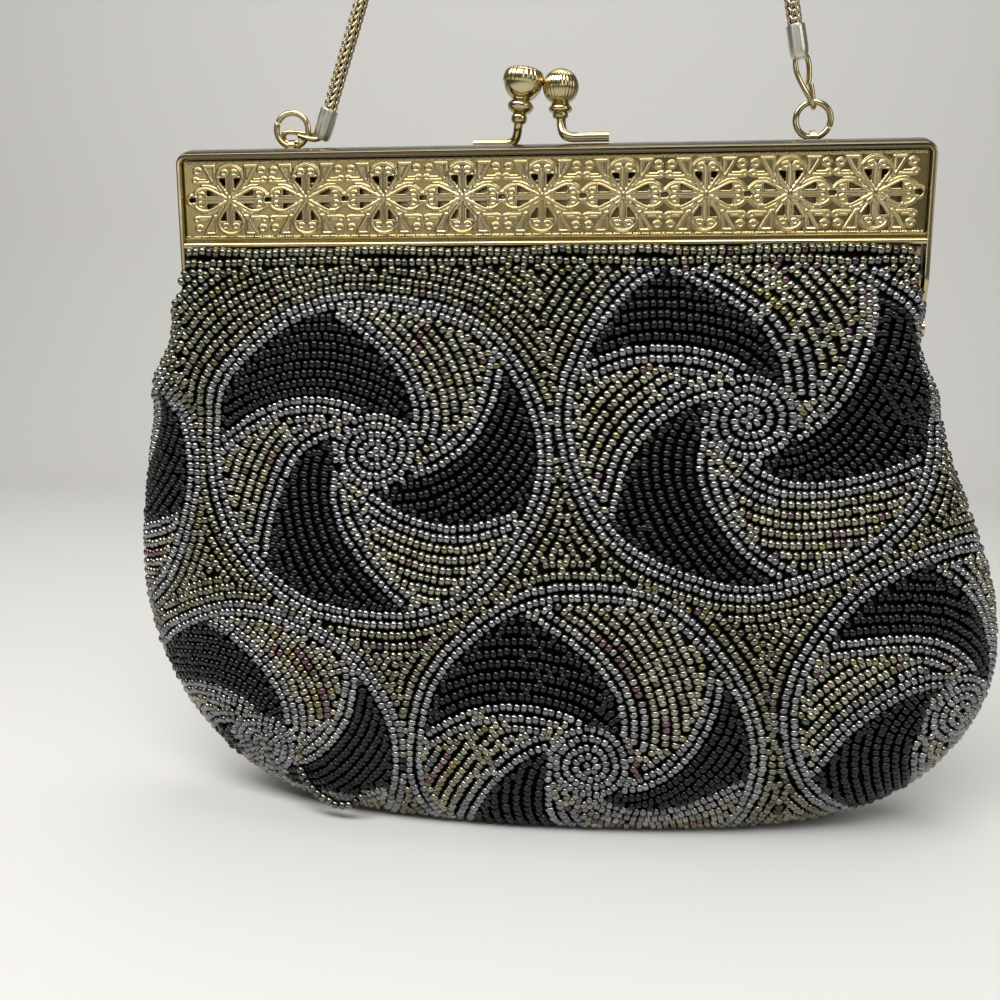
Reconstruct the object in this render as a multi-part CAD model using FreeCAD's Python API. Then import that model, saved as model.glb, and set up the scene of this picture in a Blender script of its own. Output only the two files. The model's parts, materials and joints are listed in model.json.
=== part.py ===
import FreeCAD
import Part
import math
import os

Vector = FreeCAD.Vector

# All lengths are in millimetres and all angles in degrees.
# The frame is centred on X = 0 while it is built. The front is towards -Y and the table is Z = 0.

# Metal frame, two halves that meet at Y = 0
FRAME_WIDTH = 150.0
FACE_TOP = 139.0
FACE_HEIGHT = 19.0
FRAME_DEPTH = 12.6
CROWN = 1.5
CORNER = 2.2
SHEET = 0.8
SPLIT_GAP = 0.3
SIDE_TAPER = 0.4
TOP_RIM = 1.6
SIDE_RIM = 1.9
RAIL = 2.4
ARM_FLANGE = 1.4
ARM_FLARE = 9.0

# Hinge rivets through the ears of both halves and a tab on the pouch
HINGE_DROP = 35.0
OPENING = 45.0
EAR_RADIUS = 3.0
EAR_GAP = 0.2
EAR_CLEARANCE = 0.4
JOGGLE = 6.0
RIVET = 2.0
RIVET_CLEARANCE = 0.05
RIVET_HEAD = 3.6
RIVET_HEAD_HEIGHT = 0.7
HEAD_GAP = 0.25
TAB = 0.8
TAB_WIDTH = 5.0
TAB_DROP = 14.0
TAB_FOOT = 4.0

# Pierced filigree plate behind the window of each half
PLATE = 0.6
PLATE_MARGIN = 0.6
MOTIF_COUNT = 9
MOTIF_PITCH = 16.0
PETAL_REACH = 4.2
PETAL_SPREAD = 1.0
PETAL_LENGTH = 3.0
PETAL_WIDTH = 1.3

# Cloth held in each half: beaded collar, its lining and the strip that clamps them
COLLAR = 0.8
COLLAR_LINING = 0.5
COLLAR_TUCK = 14.0
COLLAR_LAP = 2.0
COLLAR_CLEARANCE = 0.9
STRIP = 0.6
STRIP_HEIGHT = 12.0
STRIP_LIFT = 1.0

# Pouch: reach to the left and right of the frame's centre, and half depth
BASE_LEFT = 44.0
BASE_RIGHT = 52.0
BASE_DEPTH = 12.0
BELLY_LEFT = 88.0
BELLY_RIGHT = 94.0
BELLY_DEPTH = 21.5
BELLY_LEFT_HEIGHT = 52.0
BELLY_RIGHT_HEIGHT = 38.0
BELLY_DEPTH_HEIGHT = 36.0
RIM_DEPTH = 12.8
RIM_SLUMP = 5.0
RIM_BELOW_EAR = 0.5
RIM_CLEARANCE = 0.5
PANEL = 2.0
LINING = 0.6
STATIONS = (0.0, 0.02, 0.07, 0.16, 0.3, 0.46, 0.64, 0.82, 1.0)

# Kiss lock: a bent rod and a ball on each half, side by side when shut
CLASP_SHIFT = -0.9
BALL = 6.8
BALL_GAP = 0.2
BALL_HEIGHT = 12.2
ROD = 1.7
ROD_BEND = 1.6
ROD_Y = 2.2
ROD_RUN = 8.0
ROD_LEAN = 2.6
FOOT_WIDTH = 2.6
NECK = 3.6
NECK_HEIGHT = 0.7

# Rings in lugs on the back half, hooks, end caps and chain
LUG_INSET = 22.0
LUG_Y = 3.0
LUG_THICKNESS = 1.2
LUG_WALL = 0.7
LUG_RISE = 1.1
RING = 8.0
RING_WIRE = 1.05
RING_SLIT = 0.3
WIRE_CLEARANCE = 0.25
LEFT_HOOK_LENGTH = 8.5
RIGHT_HOOK_LENGTH = 11.2
HOOK_WIDTH = 2.6
HOOK_WIRE = 1.0
LEFT_HOOK_DROP = 0.9
HOOK_TIP_GAP = 0.25
CAP = 3.7
CAP_LENGTH = 6.4
CAP_TAPER = 1.4
CAP_NOSE = 2.6
CAP_EYE = 1.4
CAP_SOCKET = 1.5
SOCKET_CLEARANCE = 0.1
CHAIN = 3.0
RIGHT_HOOK_LEAN = -17.0
CHAIN_BENDS = ((-10.5, 249.5), (4.0, 258.3), (20.6, 256.9), (32.7, 245.8))

# Values that follow from the sizes above
FRONT = -FRAME_DEPTH / 2
RAIL_BOTTOM = FACE_TOP - FACE_HEIGHT
HINGE = FACE_TOP - HINGE_DROP
CROWN_RADIUS = (FRONT ** 2 + CROWN ** 2) / (2 * CROWN)
CROWN_CENTRE = FACE_TOP + CROWN - CROWN_RADIUS
PLATE_Y = FRONT + SHEET
COLLAR_Y = PLATE_Y + PLATE
LINING_Y = COLLAR_Y + COLLAR
STRIP_Y = LINING_Y + COLLAR_LINING
RIM = HINGE - EAR_RADIUS - RIM_BELOW_EAR
FRAME_X = (BELLY_LEFT - BELLY_RIGHT) / 2
PAST = 5.0


def half_width(z):
    """Outer half width of the tapered frame at a height."""
    return FRAME_WIDTH / 2 - (FACE_TOP - z) * math.tan(math.radians(SIDE_TAPER))


def crown_height(y):
    """Height of the domed top of the frame at a distance from the split."""
    return CROWN_CENTRE + math.sqrt(CROWN_RADIUS ** 2 - y ** 2)


FRONT_EAR_OUT = half_width(HINGE)
BACK_EAR_OUT = FRONT_EAR_OUT - SHEET - EAR_GAP
TAB_OUT = BACK_EAR_OUT - SHEET - EAR_GAP
TAB_IN = TAB_OUT - TAB
RIM_RIGHT = FRONT_EAR_OUT + HEAD_GAP + RIVET_HEAD_HEIGHT + RIM_CLEARANCE + LINING + PANEL
RIM_LEFT = RIM_RIGHT + RIM_SLUMP


def prism(points, vector):
    """Straight solid on a closed polygon."""
    return Part.Face(Part.makePolygon(points + points[:1])).extrude(vector)


def block(low, high):
    """Box between two corners."""
    return Part.makeBox(high[0] - low[0], high[1] - low[1], high[2] - low[2], Vector(*low))


def trapezoid(bottom, top, inset, y_low, y_high):
    """Tapered plate in the frame's outline between two heights."""
    low = half_width(bottom) - inset
    high = half_width(top) - inset
    points = [Vector(-low, y_low, bottom), Vector(low, y_low, bottom),
              Vector(high, y_low, top), Vector(-high, y_low, top)]
    return prism(points, Vector(0, y_high - y_low, 0))


def under_crown(inset, corners):
    """Solid across the frame, below the domed top, on corners given from the split to the face."""
    radius = CROWN_RADIUS - inset
    y_face = corners[-1][0]
    y_split = corners[0][0]

    def on_arc(y):
        return Vector(0, y, CROWN_CENTRE + math.sqrt(radius ** 2 - y ** 2))

    outline = [on_arc(y_split)] + [Vector(0, y, z) for y, z in corners] + [on_arc(y_face)]
    edges = [Part.makeLine(a, b) for a, b in zip(outline, outline[1:])]
    edges.append(Part.Arc(on_arc(y_face), on_arc((y_face + y_split) / 2), on_arc(y_split)).toShape())
    face = Part.Face(Part.Wire(edges))
    reach = FRAME_WIDTH / 2 - inset
    solid = face.extrude(Vector(2 * reach, 0, 0))
    solid.translate(Vector(-reach, 0, 0))
    return solid


def rounded_outline(bottom, inset):
    """Tapered block of the frame's width with its two top corners rounded."""
    low = half_width(bottom) - inset
    high = FRAME_WIDTH / 2 - inset
    top = FACE_TOP + CROWN - inset
    points = [Vector(-low, -PAST + FRONT, bottom), Vector(low, -PAST + FRONT, bottom),
              Vector(high, -PAST + FRONT, FACE_TOP - CORNER), Vector(high, -PAST + FRONT, top),
              Vector(-high, -PAST + FRONT, top), Vector(-high, -PAST + FRONT, FACE_TOP - CORNER)]
    solid = prism(points, Vector(0, FRAME_DEPTH + 2 * PAST, 0))
    corners = [e for e in solid.Edges
               if abs(e.BoundBox.ZMin - top) < 1e-6 and e.BoundBox.YLength > FRAME_DEPTH]
    return solid.makeFillet(CORNER - inset, corners)


def mirrored(shape):
    """The same piece on the back half."""
    return shape.mirror(Vector(0, 0, 0), Vector(0, 1, 0))


def turned(shape):
    """The same piece half a turn round the clasp's centre line."""
    copy = shape.copy()
    copy.rotate(Vector(CLASP_SHIFT, 0, 0), Vector(0, 0, 1), 180)
    return copy


def x_disc(x_low, x_high, radius, y=0.0, z=HINGE):
    """Round disc whose axis lies along X."""
    return Part.makeCylinder(radius, x_high - x_low, Vector(x_low, y, z), Vector(1, 0, 0))


def both_sides(x_low, x_high, radius):
    """A disc on the hinge axis at each end of the frame."""
    return [x_disc(x_low, x_high, radius), x_disc(-x_high, -x_low, radius)]


def half_frame():
    """Open tray with a window, a domed top, tapered sides and two arms, without its ears."""
    arm = [(-SPLIT_GAP / 2, HINGE), (-EAR_RADIUS, HINGE), (FRONT, HINGE + ARM_FLARE)]
    outer = under_crown(0.0, arm).common(rounded_outline(HINGE, 0.0))
    hollow = [(PAST, HINGE - PAST), (PLATE_Y, HINGE - PAST)]
    inner = under_crown(SHEET, hollow).common(rounded_outline(HINGE - PAST, SHEET))
    window = trapezoid(RAIL_BOTTOM + RAIL, FACE_TOP - TOP_RIM, SIDE_RIM, FRONT - PAST, PLATE_Y)
    below = trapezoid(HINGE - PAST, RAIL_BOTTOM, ARM_FLANGE, FRONT - PAST, PLATE_Y)
    return outer.cut(inner).cut(window).cut(below)


def front_frame():
    """Front half: its ears continue the side walls."""
    shape = half_frame()
    for ear in both_sides(FRONT_EAR_OUT - SHEET, FRONT_EAR_OUT, EAR_RADIUS):
        shape = shape.fuse(ear)
    for hole in both_sides(FRONT_EAR_OUT - PAST, FRONT_EAR_OUT + PAST, RIVET / 2 + RIVET_CLEARANCE):
        shape = shape.cut(hole)
    return shape.removeSplitter()


def back_frame():
    """Back half: its ears step inwards, past the front half's ears."""
    shape = mirrored(half_frame())
    for sweep in both_sides(FRONT_EAR_OUT - SHEET - EAR_GAP, FRONT_EAR_OUT + PAST, EAR_RADIUS + EAR_CLEARANCE):
        shape = shape.cut(sweep)
    low = HINGE + EAR_RADIUS + EAR_CLEARANCE
    strap = block((BACK_EAR_OUT - SHEET, SPLIT_GAP / 2, HINGE), (BACK_EAR_OUT, EAR_RADIUS, low + JOGGLE))
    step = block((BACK_EAR_OUT - SHEET, SPLIT_GAP / 2, low), (half_width(low) - SHEET / 2, EAR_RADIUS, low + JOGGLE))
    for side in (strap, step):
        shape = shape.fuse(side)
        shape = shape.fuse(side.mirror(Vector(0, 0, 0), Vector(1, 0, 0)))
    for ear in both_sides(BACK_EAR_OUT - SHEET, BACK_EAR_OUT, EAR_RADIUS):
        shape = shape.fuse(ear)
    for hole in both_sides(BACK_EAR_OUT - PAST, FRONT_EAR_OUT + PAST, RIVET / 2 + RIVET_CLEARANCE):
        shape = shape.cut(hole)
    return shape.removeSplitter()


def lens(length, width):
    """Upright pointed-oval cutter through the plate, centred on the origin."""
    ends = (Vector(0, 0, -length / 2), Vector(0, 0, length / 2))
    sides = [Part.Arc(ends[0], Vector(side * width / 2, 0, 0), ends[1]).toShape() for side in (-1, 1)]
    solid = Part.Face(Part.Wire(sides)).extrude(Vector(0, 2 * PLATE, 0))
    solid.translate(Vector(0, PLATE_Y - PLATE / 2, 0))
    return solid


def filigree():
    """Plate with four pairs of petal-shaped piercings in each motif."""
    plate = trapezoid(RAIL_BOTTOM + RAIL - PLATE_MARGIN, FACE_TOP - TOP_RIM + PLATE_MARGIN,
                      SIDE_RIM - PLATE_MARGIN, PLATE_Y, COLLAR_Y)
    middle = (RAIL_BOTTOM + RAIL + FACE_TOP - TOP_RIM) / 2
    cuts = []
    for motif in range(MOTIF_COUNT):
        x = (motif - (MOTIF_COUNT - 1) / 2) * MOTIF_PITCH
        for quarter in range(4):
            for side in (-1, 1):
                cut = lens(PETAL_LENGTH, PETAL_WIDTH)
                cut.translate(Vector(side * PETAL_SPREAD, 0, PETAL_REACH))
                cut.rotate(Vector(0, 0, 0), Vector(0, 1, 0), 90 * quarter)
                cut.translate(Vector(x, 0, middle))
                cuts.append(cut)
    return plate.cut(Part.makeCompound(cuts))


def opening_wedge():
    """What has to stay clear below the hinge so that the two halves' cloth never meets."""
    drop = HINGE - RIM + COLLAR_LAP + PAST
    gap = COLLAR_CLEARANCE / 2
    low = -gap - drop * math.tan(math.radians(OPENING))
    reach = FRAME_WIDTH / 2
    points = [Vector(-reach, -gap, HINGE), Vector(-reach, low, HINGE - drop),
              Vector(-reach, PAST, HINGE - drop), Vector(-reach, PAST, HINGE)]
    return prism(points, Vector(2 * reach, 0, 0))


def cloth_sheet(y_top, thickness):
    """Collar cloth: flat where it is tucked behind the face, bowed out where it meets the pouch."""
    inner_depth = RIM_DEPTH - PANEL - LINING
    inner_reach = RIM_RIGHT - PANEL - LINING
    reach = TAB_IN - RIVET_HEAD_HEIGHT - COLLAR_CLEARANCE
    end = inner_depth * math.sqrt(1 - (reach / inner_reach) ** 2) - COLLAR_CLEARANCE
    bow = inner_depth - COLLAR_CLEARANCE
    inset = y_top - COLLAR_Y
    tucked = half_width(RAIL_BOTTOM) - SHEET
    bottom = RIM - COLLAR_LAP
    over_ear = HINGE + EAR_RADIUS + EAR_CLEARANCE
    share = (RAIL_BOTTOM - over_ear) / (RAIL_BOTTOM - bottom)
    levels = ((RAIL_BOTTOM, tucked, y_top, y_top),
              (over_ear, reach, y_top + share * (inset - end - y_top), y_top + share * (inset - bow - y_top)),
              (bottom, reach, inset - end, inset - bow))
    wires = []
    for z, width, y_end, y_bow in levels:
        curve = Part.BezierCurve()
        curve.setPoles([Vector(-width, y_end, z), Vector(0, 2 * y_bow - y_end, z), Vector(width, y_end, z)])
        front = curve.toShape()
        back = curve.toShape()
        back.translate(Vector(0, thickness, 0))
        sides = [Part.makeLine(Vector(side * width, y_end, z), Vector(side * width, y_end + thickness, z))
                 for side in (-1, 1)]
        wires.append(Part.Wire(Part.__sortEdges__([front, sides[1], back, sides[0]])))
    sheet = Part.makeLoft(wires, True, True).cut(opening_wedge())
    tuck = trapezoid(RAIL_BOTTOM, RAIL_BOTTOM + COLLAR_TUCK, SHEET, y_top, y_top + thickness)
    return sheet.fuse(tuck).removeSplitter()


def binding_strip():
    """Strip that clamps the cloth inside the half, from wall to wall."""
    low = RAIL_BOTTOM + STRIP_LIFT
    return trapezoid(low, low + STRIP_HEIGHT, SHEET, STRIP_Y, STRIP_Y + STRIP)


def swell(z, base, belly, belly_height, rim):
    """Outline of the pouch: a quarter ellipse up to the belly, then a gentle waist up to the rim."""
    if z < belly_height:
        rise = 1 - z / belly_height
        return base + (belly - base) * math.sqrt(1 - rise ** 2)
    share = (z - belly_height) / (RIM - belly_height)
    return rim + (belly - rim) * (1 + math.cos(math.pi * share)) / 2


def pouch_half(inset):
    """Solid front half of the pouch, with its outer face moved in by a wall."""
    wires = []
    for station in STATIONS:
        z = station * RIM
        left = swell(z, BASE_LEFT, BELLY_LEFT, BELLY_LEFT_HEIGHT, RIM_LEFT) - inset
        right = swell(z, BASE_RIGHT, BELLY_RIGHT, BELLY_RIGHT_HEIGHT, RIM_RIGHT) - inset
        depth = swell(z, BASE_DEPTH, BELLY_DEPTH, BELLY_DEPTH_HEIGHT, RIM_DEPTH) - inset
        centre = Vector(0, 0, z + inset * (1 - station))
        quarters = [Part.ArcOfEllipse(Part.Ellipse(centre, left, depth), math.pi, 1.5 * math.pi),
                    Part.ArcOfEllipse(Part.Ellipse(centre, right, depth), 1.5 * math.pi, 2 * math.pi)]
        edges = [quarter.toShape() for quarter in quarters]
        edges.append(Part.makeLine(centre + Vector(right, 0, 0), centre - Vector(left, 0, 0)))
        wires.append(Part.Wire(edges))
    return Part.makeLoft(wires, True, False)


def gusset_tab(side, room):
    """Tab on the inside of a side seam, held on the hinge rivet."""
    plate = block((TAB_IN, -TAB_WIDTH / 2, HINGE - TAB_DROP), (TAB_OUT, TAB_WIDTH / 2, HINGE))
    plate = plate.fuse(x_disc(TAB_IN, TAB_OUT, TAB_WIDTH / 2))
    foot = block((TAB_IN, -TAB_WIDTH / 2, HINGE - TAB_DROP), (BELLY_RIGHT, TAB_WIDTH / 2, HINGE - TAB_DROP + TAB_FOOT))
    shape = plate.fuse(foot).cut(x_disc(TAB_IN - PAST, TAB_OUT + PAST, RIVET / 2)).removeSplitter()
    if side < 0:
        shape = shape.mirror(Vector(0, 0, 0), Vector(1, 0, 0))
    return shape.common(room)


def hinge_rivet(side):
    """Rivet with a head outside the ears and one inside the tab."""
    out = FRONT_EAR_OUT + HEAD_GAP
    shape = x_disc(TAB_IN, out, RIVET / 2)
    shape = shape.fuse(x_disc(out, out + RIVET_HEAD_HEIGHT, RIVET_HEAD / 2))
    shape = shape.fuse(x_disc(TAB_IN - RIVET_HEAD_HEIGHT, TAB_IN, RIVET_HEAD / 2)).removeSplitter()
    return shape if side > 0 else shape.mirror(Vector(0, 0, 0), Vector(1, 0, 0))


def rounded_path(points, radii):
    """Straight runs joined by tangent arcs, one radius for each inner point."""
    edges = []
    start = points[0]
    for before, corner, after, radius in zip(points, points[1:], points[2:], radii):
        back = (before - corner).normalize()
        ahead = (after - corner).normalize()
        half_turn = (math.pi - back.getAngle(ahead)) / 2
        trim = radius * math.tan(half_turn)
        inward = (back + ahead).normalize()
        nearest = corner + inward * (radius / math.cos(half_turn) - radius)
        first = corner + back * trim
        last = corner + ahead * trim
        edges.append(Part.makeLine(start, first))
        edges.append(Part.Arc(first, nearest, last).toShape())
        start = last
    edges.append(Part.makeLine(start, points[-1]))
    return Part.Wire(edges)


def tube(path, diameter):
    """Round rod along a path."""
    first = path.Edges[0]
    start = first.valueAt(first.FirstParameter)
    circle = Part.makeCircle(diameter / 2, start, first.tangentAt(first.FirstParameter))
    return path.makePipeShell([Part.Wire(circle)], True, False)


def outside_crown(shape):
    """What is left of a piece above the domed top."""
    core = [(-FRONT, HINGE), (FRONT, HINGE)]
    return shape.cut(under_crown(0.0, core))


BALL_X = CLASP_SHIFT + (BALL + BALL_GAP) / 2
BALL_Z = FACE_TOP + BALL_HEIGHT
ROD_Z = crown_height(ROD_Y) + ROD / 2


def clasp_arm():
    """Bent rod of the front half: a run along the top, then a stem that leans to the ball."""
    bend = Vector(BALL_X + ROD_LEAN, -ROD_Y, ROD_Z)
    neck = Vector(BALL_X, 0, BALL_Z - BALL / 2)
    points = [bend + Vector(ROD_RUN, 0, 0), bend, neck]
    shape = tube(rounded_path(points, [ROD_BEND]), ROD)
    foot = block((bend.x + ROD_BEND, -ROD_Y - FOOT_WIDTH / 2, ROD_Z - ROD),
                 (bend.x + ROD_RUN, -ROD_Y + FOOT_WIDTH / 2, ROD_Z))
    neck_ring = Part.makeCylinder(NECK / 2, NECK_HEIGHT, neck - Vector(0, 0, NECK_HEIGHT / 2))
    return shape.fuse(outside_crown(foot)).fuse(neck_ring).removeSplitter()


def clasp_ball(arm):
    """Ball seated on its stem."""
    return Part.makeSphere(BALL / 2, Vector(BALL_X, 0, BALL_Z)).cut(arm)


LUG_X = FRAME_WIDTH / 2 - LUG_INSET
LUG_Z = crown_height(LUG_Y) + LUG_RISE
RING_RADIUS = (RING - RING_WIRE) / 2
RING_Z = LUG_Z + RING_RADIUS


def ring_lug(side):
    """Eye on the back half whose hole lies along the frame."""
    x = side * LUG_X
    hole = RING_WIRE / 2 + WIRE_CLEARANCE
    eye = x_disc(x - LUG_THICKNESS / 2, x + LUG_THICKNESS / 2, hole + LUG_WALL, LUG_Y, LUG_Z)
    post = block((x - LUG_THICKNESS / 2, LUG_Y - hole - LUG_WALL, FACE_TOP - SHEET),
                 (x + LUG_THICKNESS / 2, LUG_Y + hole + LUG_WALL, LUG_Z))
    solid = outside_crown(eye.fuse(post).removeSplitter())
    return solid.cut(x_disc(x - PAST, x + PAST, hole, LUG_Y, LUG_Z))


def ring(side):
    """Split ring that stands in its lug, parallel to the frame."""
    centre = Vector(side * LUG_X, LUG_Y, RING_Z)
    shape = Part.makeTorus(RING_RADIUS, RING_WIRE / 2, centre, Vector(0, 1, 0))
    slit = block((0, -RING_WIRE, -RING_SLIT / 2), (RING, RING_WIRE, RING_SLIT / 2))
    slit.rotate(Vector(0, 0, 0), Vector(0, 1, 0), 25 if side > 0 else 205)
    slit.translate(centre)
    return shape.cut(slit)


def loop_path(tip, along, across, length):
    """Centre line of a long wire loop, from its tip along one direction."""
    radius = HOOK_WIDTH / 2
    near = tip + along * radius
    far = tip + along * (length - radius)
    side = across * radius
    edges = [Part.Arc(near + side, tip, near - side).toShape(),
             Part.makeLine(near - side, far - side),
             Part.Arc(far - side, far + along * radius, far + side).toShape(),
             Part.makeLine(far + side, near + side)]
    return Part.Wire(edges)


def hook(path, diameter):
    """Closed wire loop made of two bent ends and two straight legs."""
    pieces = []
    for edge in path.Edges:
        start = edge.valueAt(edge.FirstParameter)
        circle = Part.makeCircle(diameter / 2, start, edge.tangentAt(edge.FirstParameter))
        pieces.append(Part.Wire([edge]).makePipeShell([Part.Wire(circle)], True, False))
    shape = pieces[0]
    for piece in pieces[1:]:
        shape = shape.fuse(piece)
    return shape.removeSplitter()


def left_hook_path():
    """Left hook: it lies along the frame, round the ring's right-hand wire."""
    z = RING_Z - LEFT_HOOK_DROP
    inner = math.sqrt((RING / 2 - RING_WIRE) ** 2 - LEFT_HOOK_DROP ** 2)
    tip = Vector(-LUG_X - inner + HOOK_WIRE / 2 + HOOK_TIP_GAP, LUG_Y, z)
    return loop_path(tip, Vector(1, 0, 0), Vector(0, 1, 0), LEFT_HOOK_LENGTH)


def right_hook_path():
    """Right hook: it stands up, round the top of the ring."""
    drop = (RING_WIRE + HOOK_WIRE) / 2 + HOOK_TIP_GAP
    tip = Vector(LUG_X, LUG_Y, RING_Z + RING_RADIUS - drop)
    lean = math.radians(RIGHT_HOOK_LEAN)
    return loop_path(tip, Vector(math.sin(lean), 0, math.cos(lean)), Vector(0, 1, 0), RIGHT_HOOK_LENGTH)


def cap_place(path, bend):
    """Nose of an end cap on the far end of a hook, and its direction to the chain's nearest bend."""
    far_end = path.Edges[2]
    eye = far_end.valueAt((far_end.FirstParameter + far_end.LastParameter) / 2)
    direction = (bend - eye).normalize()
    return eye - direction * CAP_EYE, direction


def end_cap(path, bend):
    """Tapered barrel with a way through for the hook and a socket for the chain."""
    nose, direction = cap_place(path, bend)
    cone = Part.makeCone(CAP_NOSE / 2, CAP / 2, CAP_TAPER, nose, direction)
    barrel = Part.makeCylinder(CAP / 2, CAP_LENGTH - CAP_TAPER, nose + direction * CAP_TAPER, direction)
    floor = nose + direction * (CAP_LENGTH - CAP_SOCKET)
    socket = Part.makeCylinder(CHAIN / 2 + SOCKET_CLEARANCE, PAST, floor, direction)
    eye = hook(path, HOOK_WIRE + 2 * WIRE_CLEARANCE)
    return cone.fuse(barrel).removeSplitter().cut(socket).cut(eye)


def chain_start(path, bend):
    """Bottom of the chain in an end cap's socket."""
    nose, direction = cap_place(path, bend)
    return nose + direction * (CAP_LENGTH - CAP_SOCKET)


def chain(left_path, bends, right_path):
    """Chain drawn up from both caps and bent over above the bag."""
    points = [chain_start(left_path, bends[0])] + bends + [chain_start(right_path, bends[-1])]
    radii = []
    for before, corner, after in zip(points, points[1:], points[2:]):
        half_turn = (after - corner).getAngle(corner - before) / 2
        shorter = min((corner - before).Length, (after - corner).Length)
        radii.append(0.45 * shorter / math.tan(half_turn))
    path = rounded_path(points, radii)
    shape = tube(path, CHAIN)
    section = math.pi * CHAIN ** 2 / 4
    print("chain radii", [round(r, 1) for r in radii], "length", round(path.Length, 1),
          "volume share", round(shape.Volume / (section * path.Length), 4))
    print("chain points", [[round(v, 2) for v in (p.x + FRAME_X, p.y, p.z)] for p in points])
    return shape


def save(name, shape):
    """Write one node, moved so that the whole bag is centred on X = 0."""
    copy = shape.copy()
    copy.translate(Vector(FRAME_X, 0, 0))
    solids = copy.Solids
    print(name, "solids", len(solids), "valid", copy.isValid(), "volume", round(copy.Volume, 2))
    (solids[0] if len(solids) == 1 else copy).exportStep("parts/%s.step" % name)


def main():
    os.makedirs("parts", exist_ok=True)

    outer = pouch_half(0.0)
    under_panel = pouch_half(PANEL)
    under_lining = pouch_half(PANEL + LINING)
    panel = outer.cut(under_panel)
    lining = under_panel.cut(under_lining)
    save("front_panel", panel)
    save("back_panel", mirrored(panel))
    save("front_lining", lining)
    save("back_lining", mirrored(lining))

    room = under_lining.fuse(mirrored(under_lining))
    over_rim = block((-BELLY_LEFT, -BELLY_DEPTH, RIM), (BELLY_RIGHT, BELLY_DEPTH, FACE_TOP))
    room = room.fuse(over_rim)
    for name, side in (("left", -1), ("right", 1)):
        save(name + "_hinge_rivet", hinge_rivet(side))
        save(name + "_gusset_tab", gusset_tab(side, room))

    save("front_frame", front_frame())
    save("back_frame", back_frame())
    halves = {"filigree": filigree(), "collar": cloth_sheet(COLLAR_Y, COLLAR),
              "collar_lining": cloth_sheet(LINING_Y, COLLAR_LINING), "binding_strip": binding_strip()}
    for name, shape in halves.items():
        save("front_" + name, shape)
        save("back_" + name, mirrored(shape))

    arm = clasp_arm()
    ball = clasp_ball(arm)
    save("front_clasp_arm", arm)
    save("front_clasp_ball", ball)
    save("back_clasp_arm", turned(arm))
    save("back_clasp_ball", turned(ball))

    left_path = left_hook_path()
    right_path = right_hook_path()
    bends = [Vector(x, LUG_Y, z) for x, z in CHAIN_BENDS]
    for name, side, path, bend in (("left", -1, left_path, bends[0]), ("right", 1, right_path, bends[-1])):
        save(name + "_ring_lug", ring_lug(side))
        save(name + "_ring", ring(side))
        save(name + "_hook", hook(path, HOOK_WIRE))
        save(name + "_end_cap", end_cap(path, bend))
    save("handle_chain", chain(left_path, bends, right_path))


main()
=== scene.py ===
"""Beaded evening purse on a kiss lock frame: its surfaces and finishes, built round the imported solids."""
import json
import math

import bpy
import numpy as np
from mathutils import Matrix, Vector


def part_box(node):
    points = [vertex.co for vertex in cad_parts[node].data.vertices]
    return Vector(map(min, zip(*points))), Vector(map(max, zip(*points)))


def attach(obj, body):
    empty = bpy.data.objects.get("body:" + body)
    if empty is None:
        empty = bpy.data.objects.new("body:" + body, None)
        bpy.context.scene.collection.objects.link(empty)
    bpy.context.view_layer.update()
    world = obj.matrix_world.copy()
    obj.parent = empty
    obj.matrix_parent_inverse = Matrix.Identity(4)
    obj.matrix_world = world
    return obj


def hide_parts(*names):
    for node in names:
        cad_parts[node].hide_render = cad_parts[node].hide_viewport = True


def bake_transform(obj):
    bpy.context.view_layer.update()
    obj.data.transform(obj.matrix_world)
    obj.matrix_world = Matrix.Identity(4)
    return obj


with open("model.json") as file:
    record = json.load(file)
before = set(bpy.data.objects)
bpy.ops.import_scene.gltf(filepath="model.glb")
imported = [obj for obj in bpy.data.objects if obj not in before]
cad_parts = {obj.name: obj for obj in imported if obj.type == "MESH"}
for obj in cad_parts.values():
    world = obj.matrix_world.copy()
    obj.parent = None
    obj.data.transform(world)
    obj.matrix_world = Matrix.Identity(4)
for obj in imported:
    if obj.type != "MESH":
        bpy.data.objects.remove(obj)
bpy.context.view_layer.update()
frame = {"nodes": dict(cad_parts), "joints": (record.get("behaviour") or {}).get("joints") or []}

bl_info = {
    "name": "Beaded Frame Purse",
    "version": (1, 0, 0),
    "blender": (4, 5, 0),
    "location": "View3D > Sidebar > Purse",
    "description": "Builds the beadwork, metalwork and stage of a purse on a kiss lock frame",
    "category": "Object",
}

# Lengths below are in millimetres, and MM turns them into metres. The front is towards -Y.
MM = 0.001
FRONT_SIDE = -1.0
BACK_SIDE = 1.0
SIDES = ((FRONT_SIDE, "front"), (BACK_SIDE, "back"))


def node_box(name):
    """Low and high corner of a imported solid."""
    return tuple(np.array(corner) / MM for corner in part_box(name))


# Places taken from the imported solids
FRAME_LOW, FRAME_HIGH = node_box("front_frame")
PANEL_LOW, PANEL_HIGH = node_box("front_panel")
PLATE_LOW, PLATE_HIGH = node_box("front_filigree")
MID_X = (FRAME_LOW[0] + FRAME_HIGH[0]) / 2
HALF_FRAME = (FRAME_HIGH[0] - FRAME_LOW[0]) / 2
FACE_Y = -FRAME_LOW[1]
HINGE_Z = frame["joints"][0]["pos_m"][2] / MM

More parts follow.
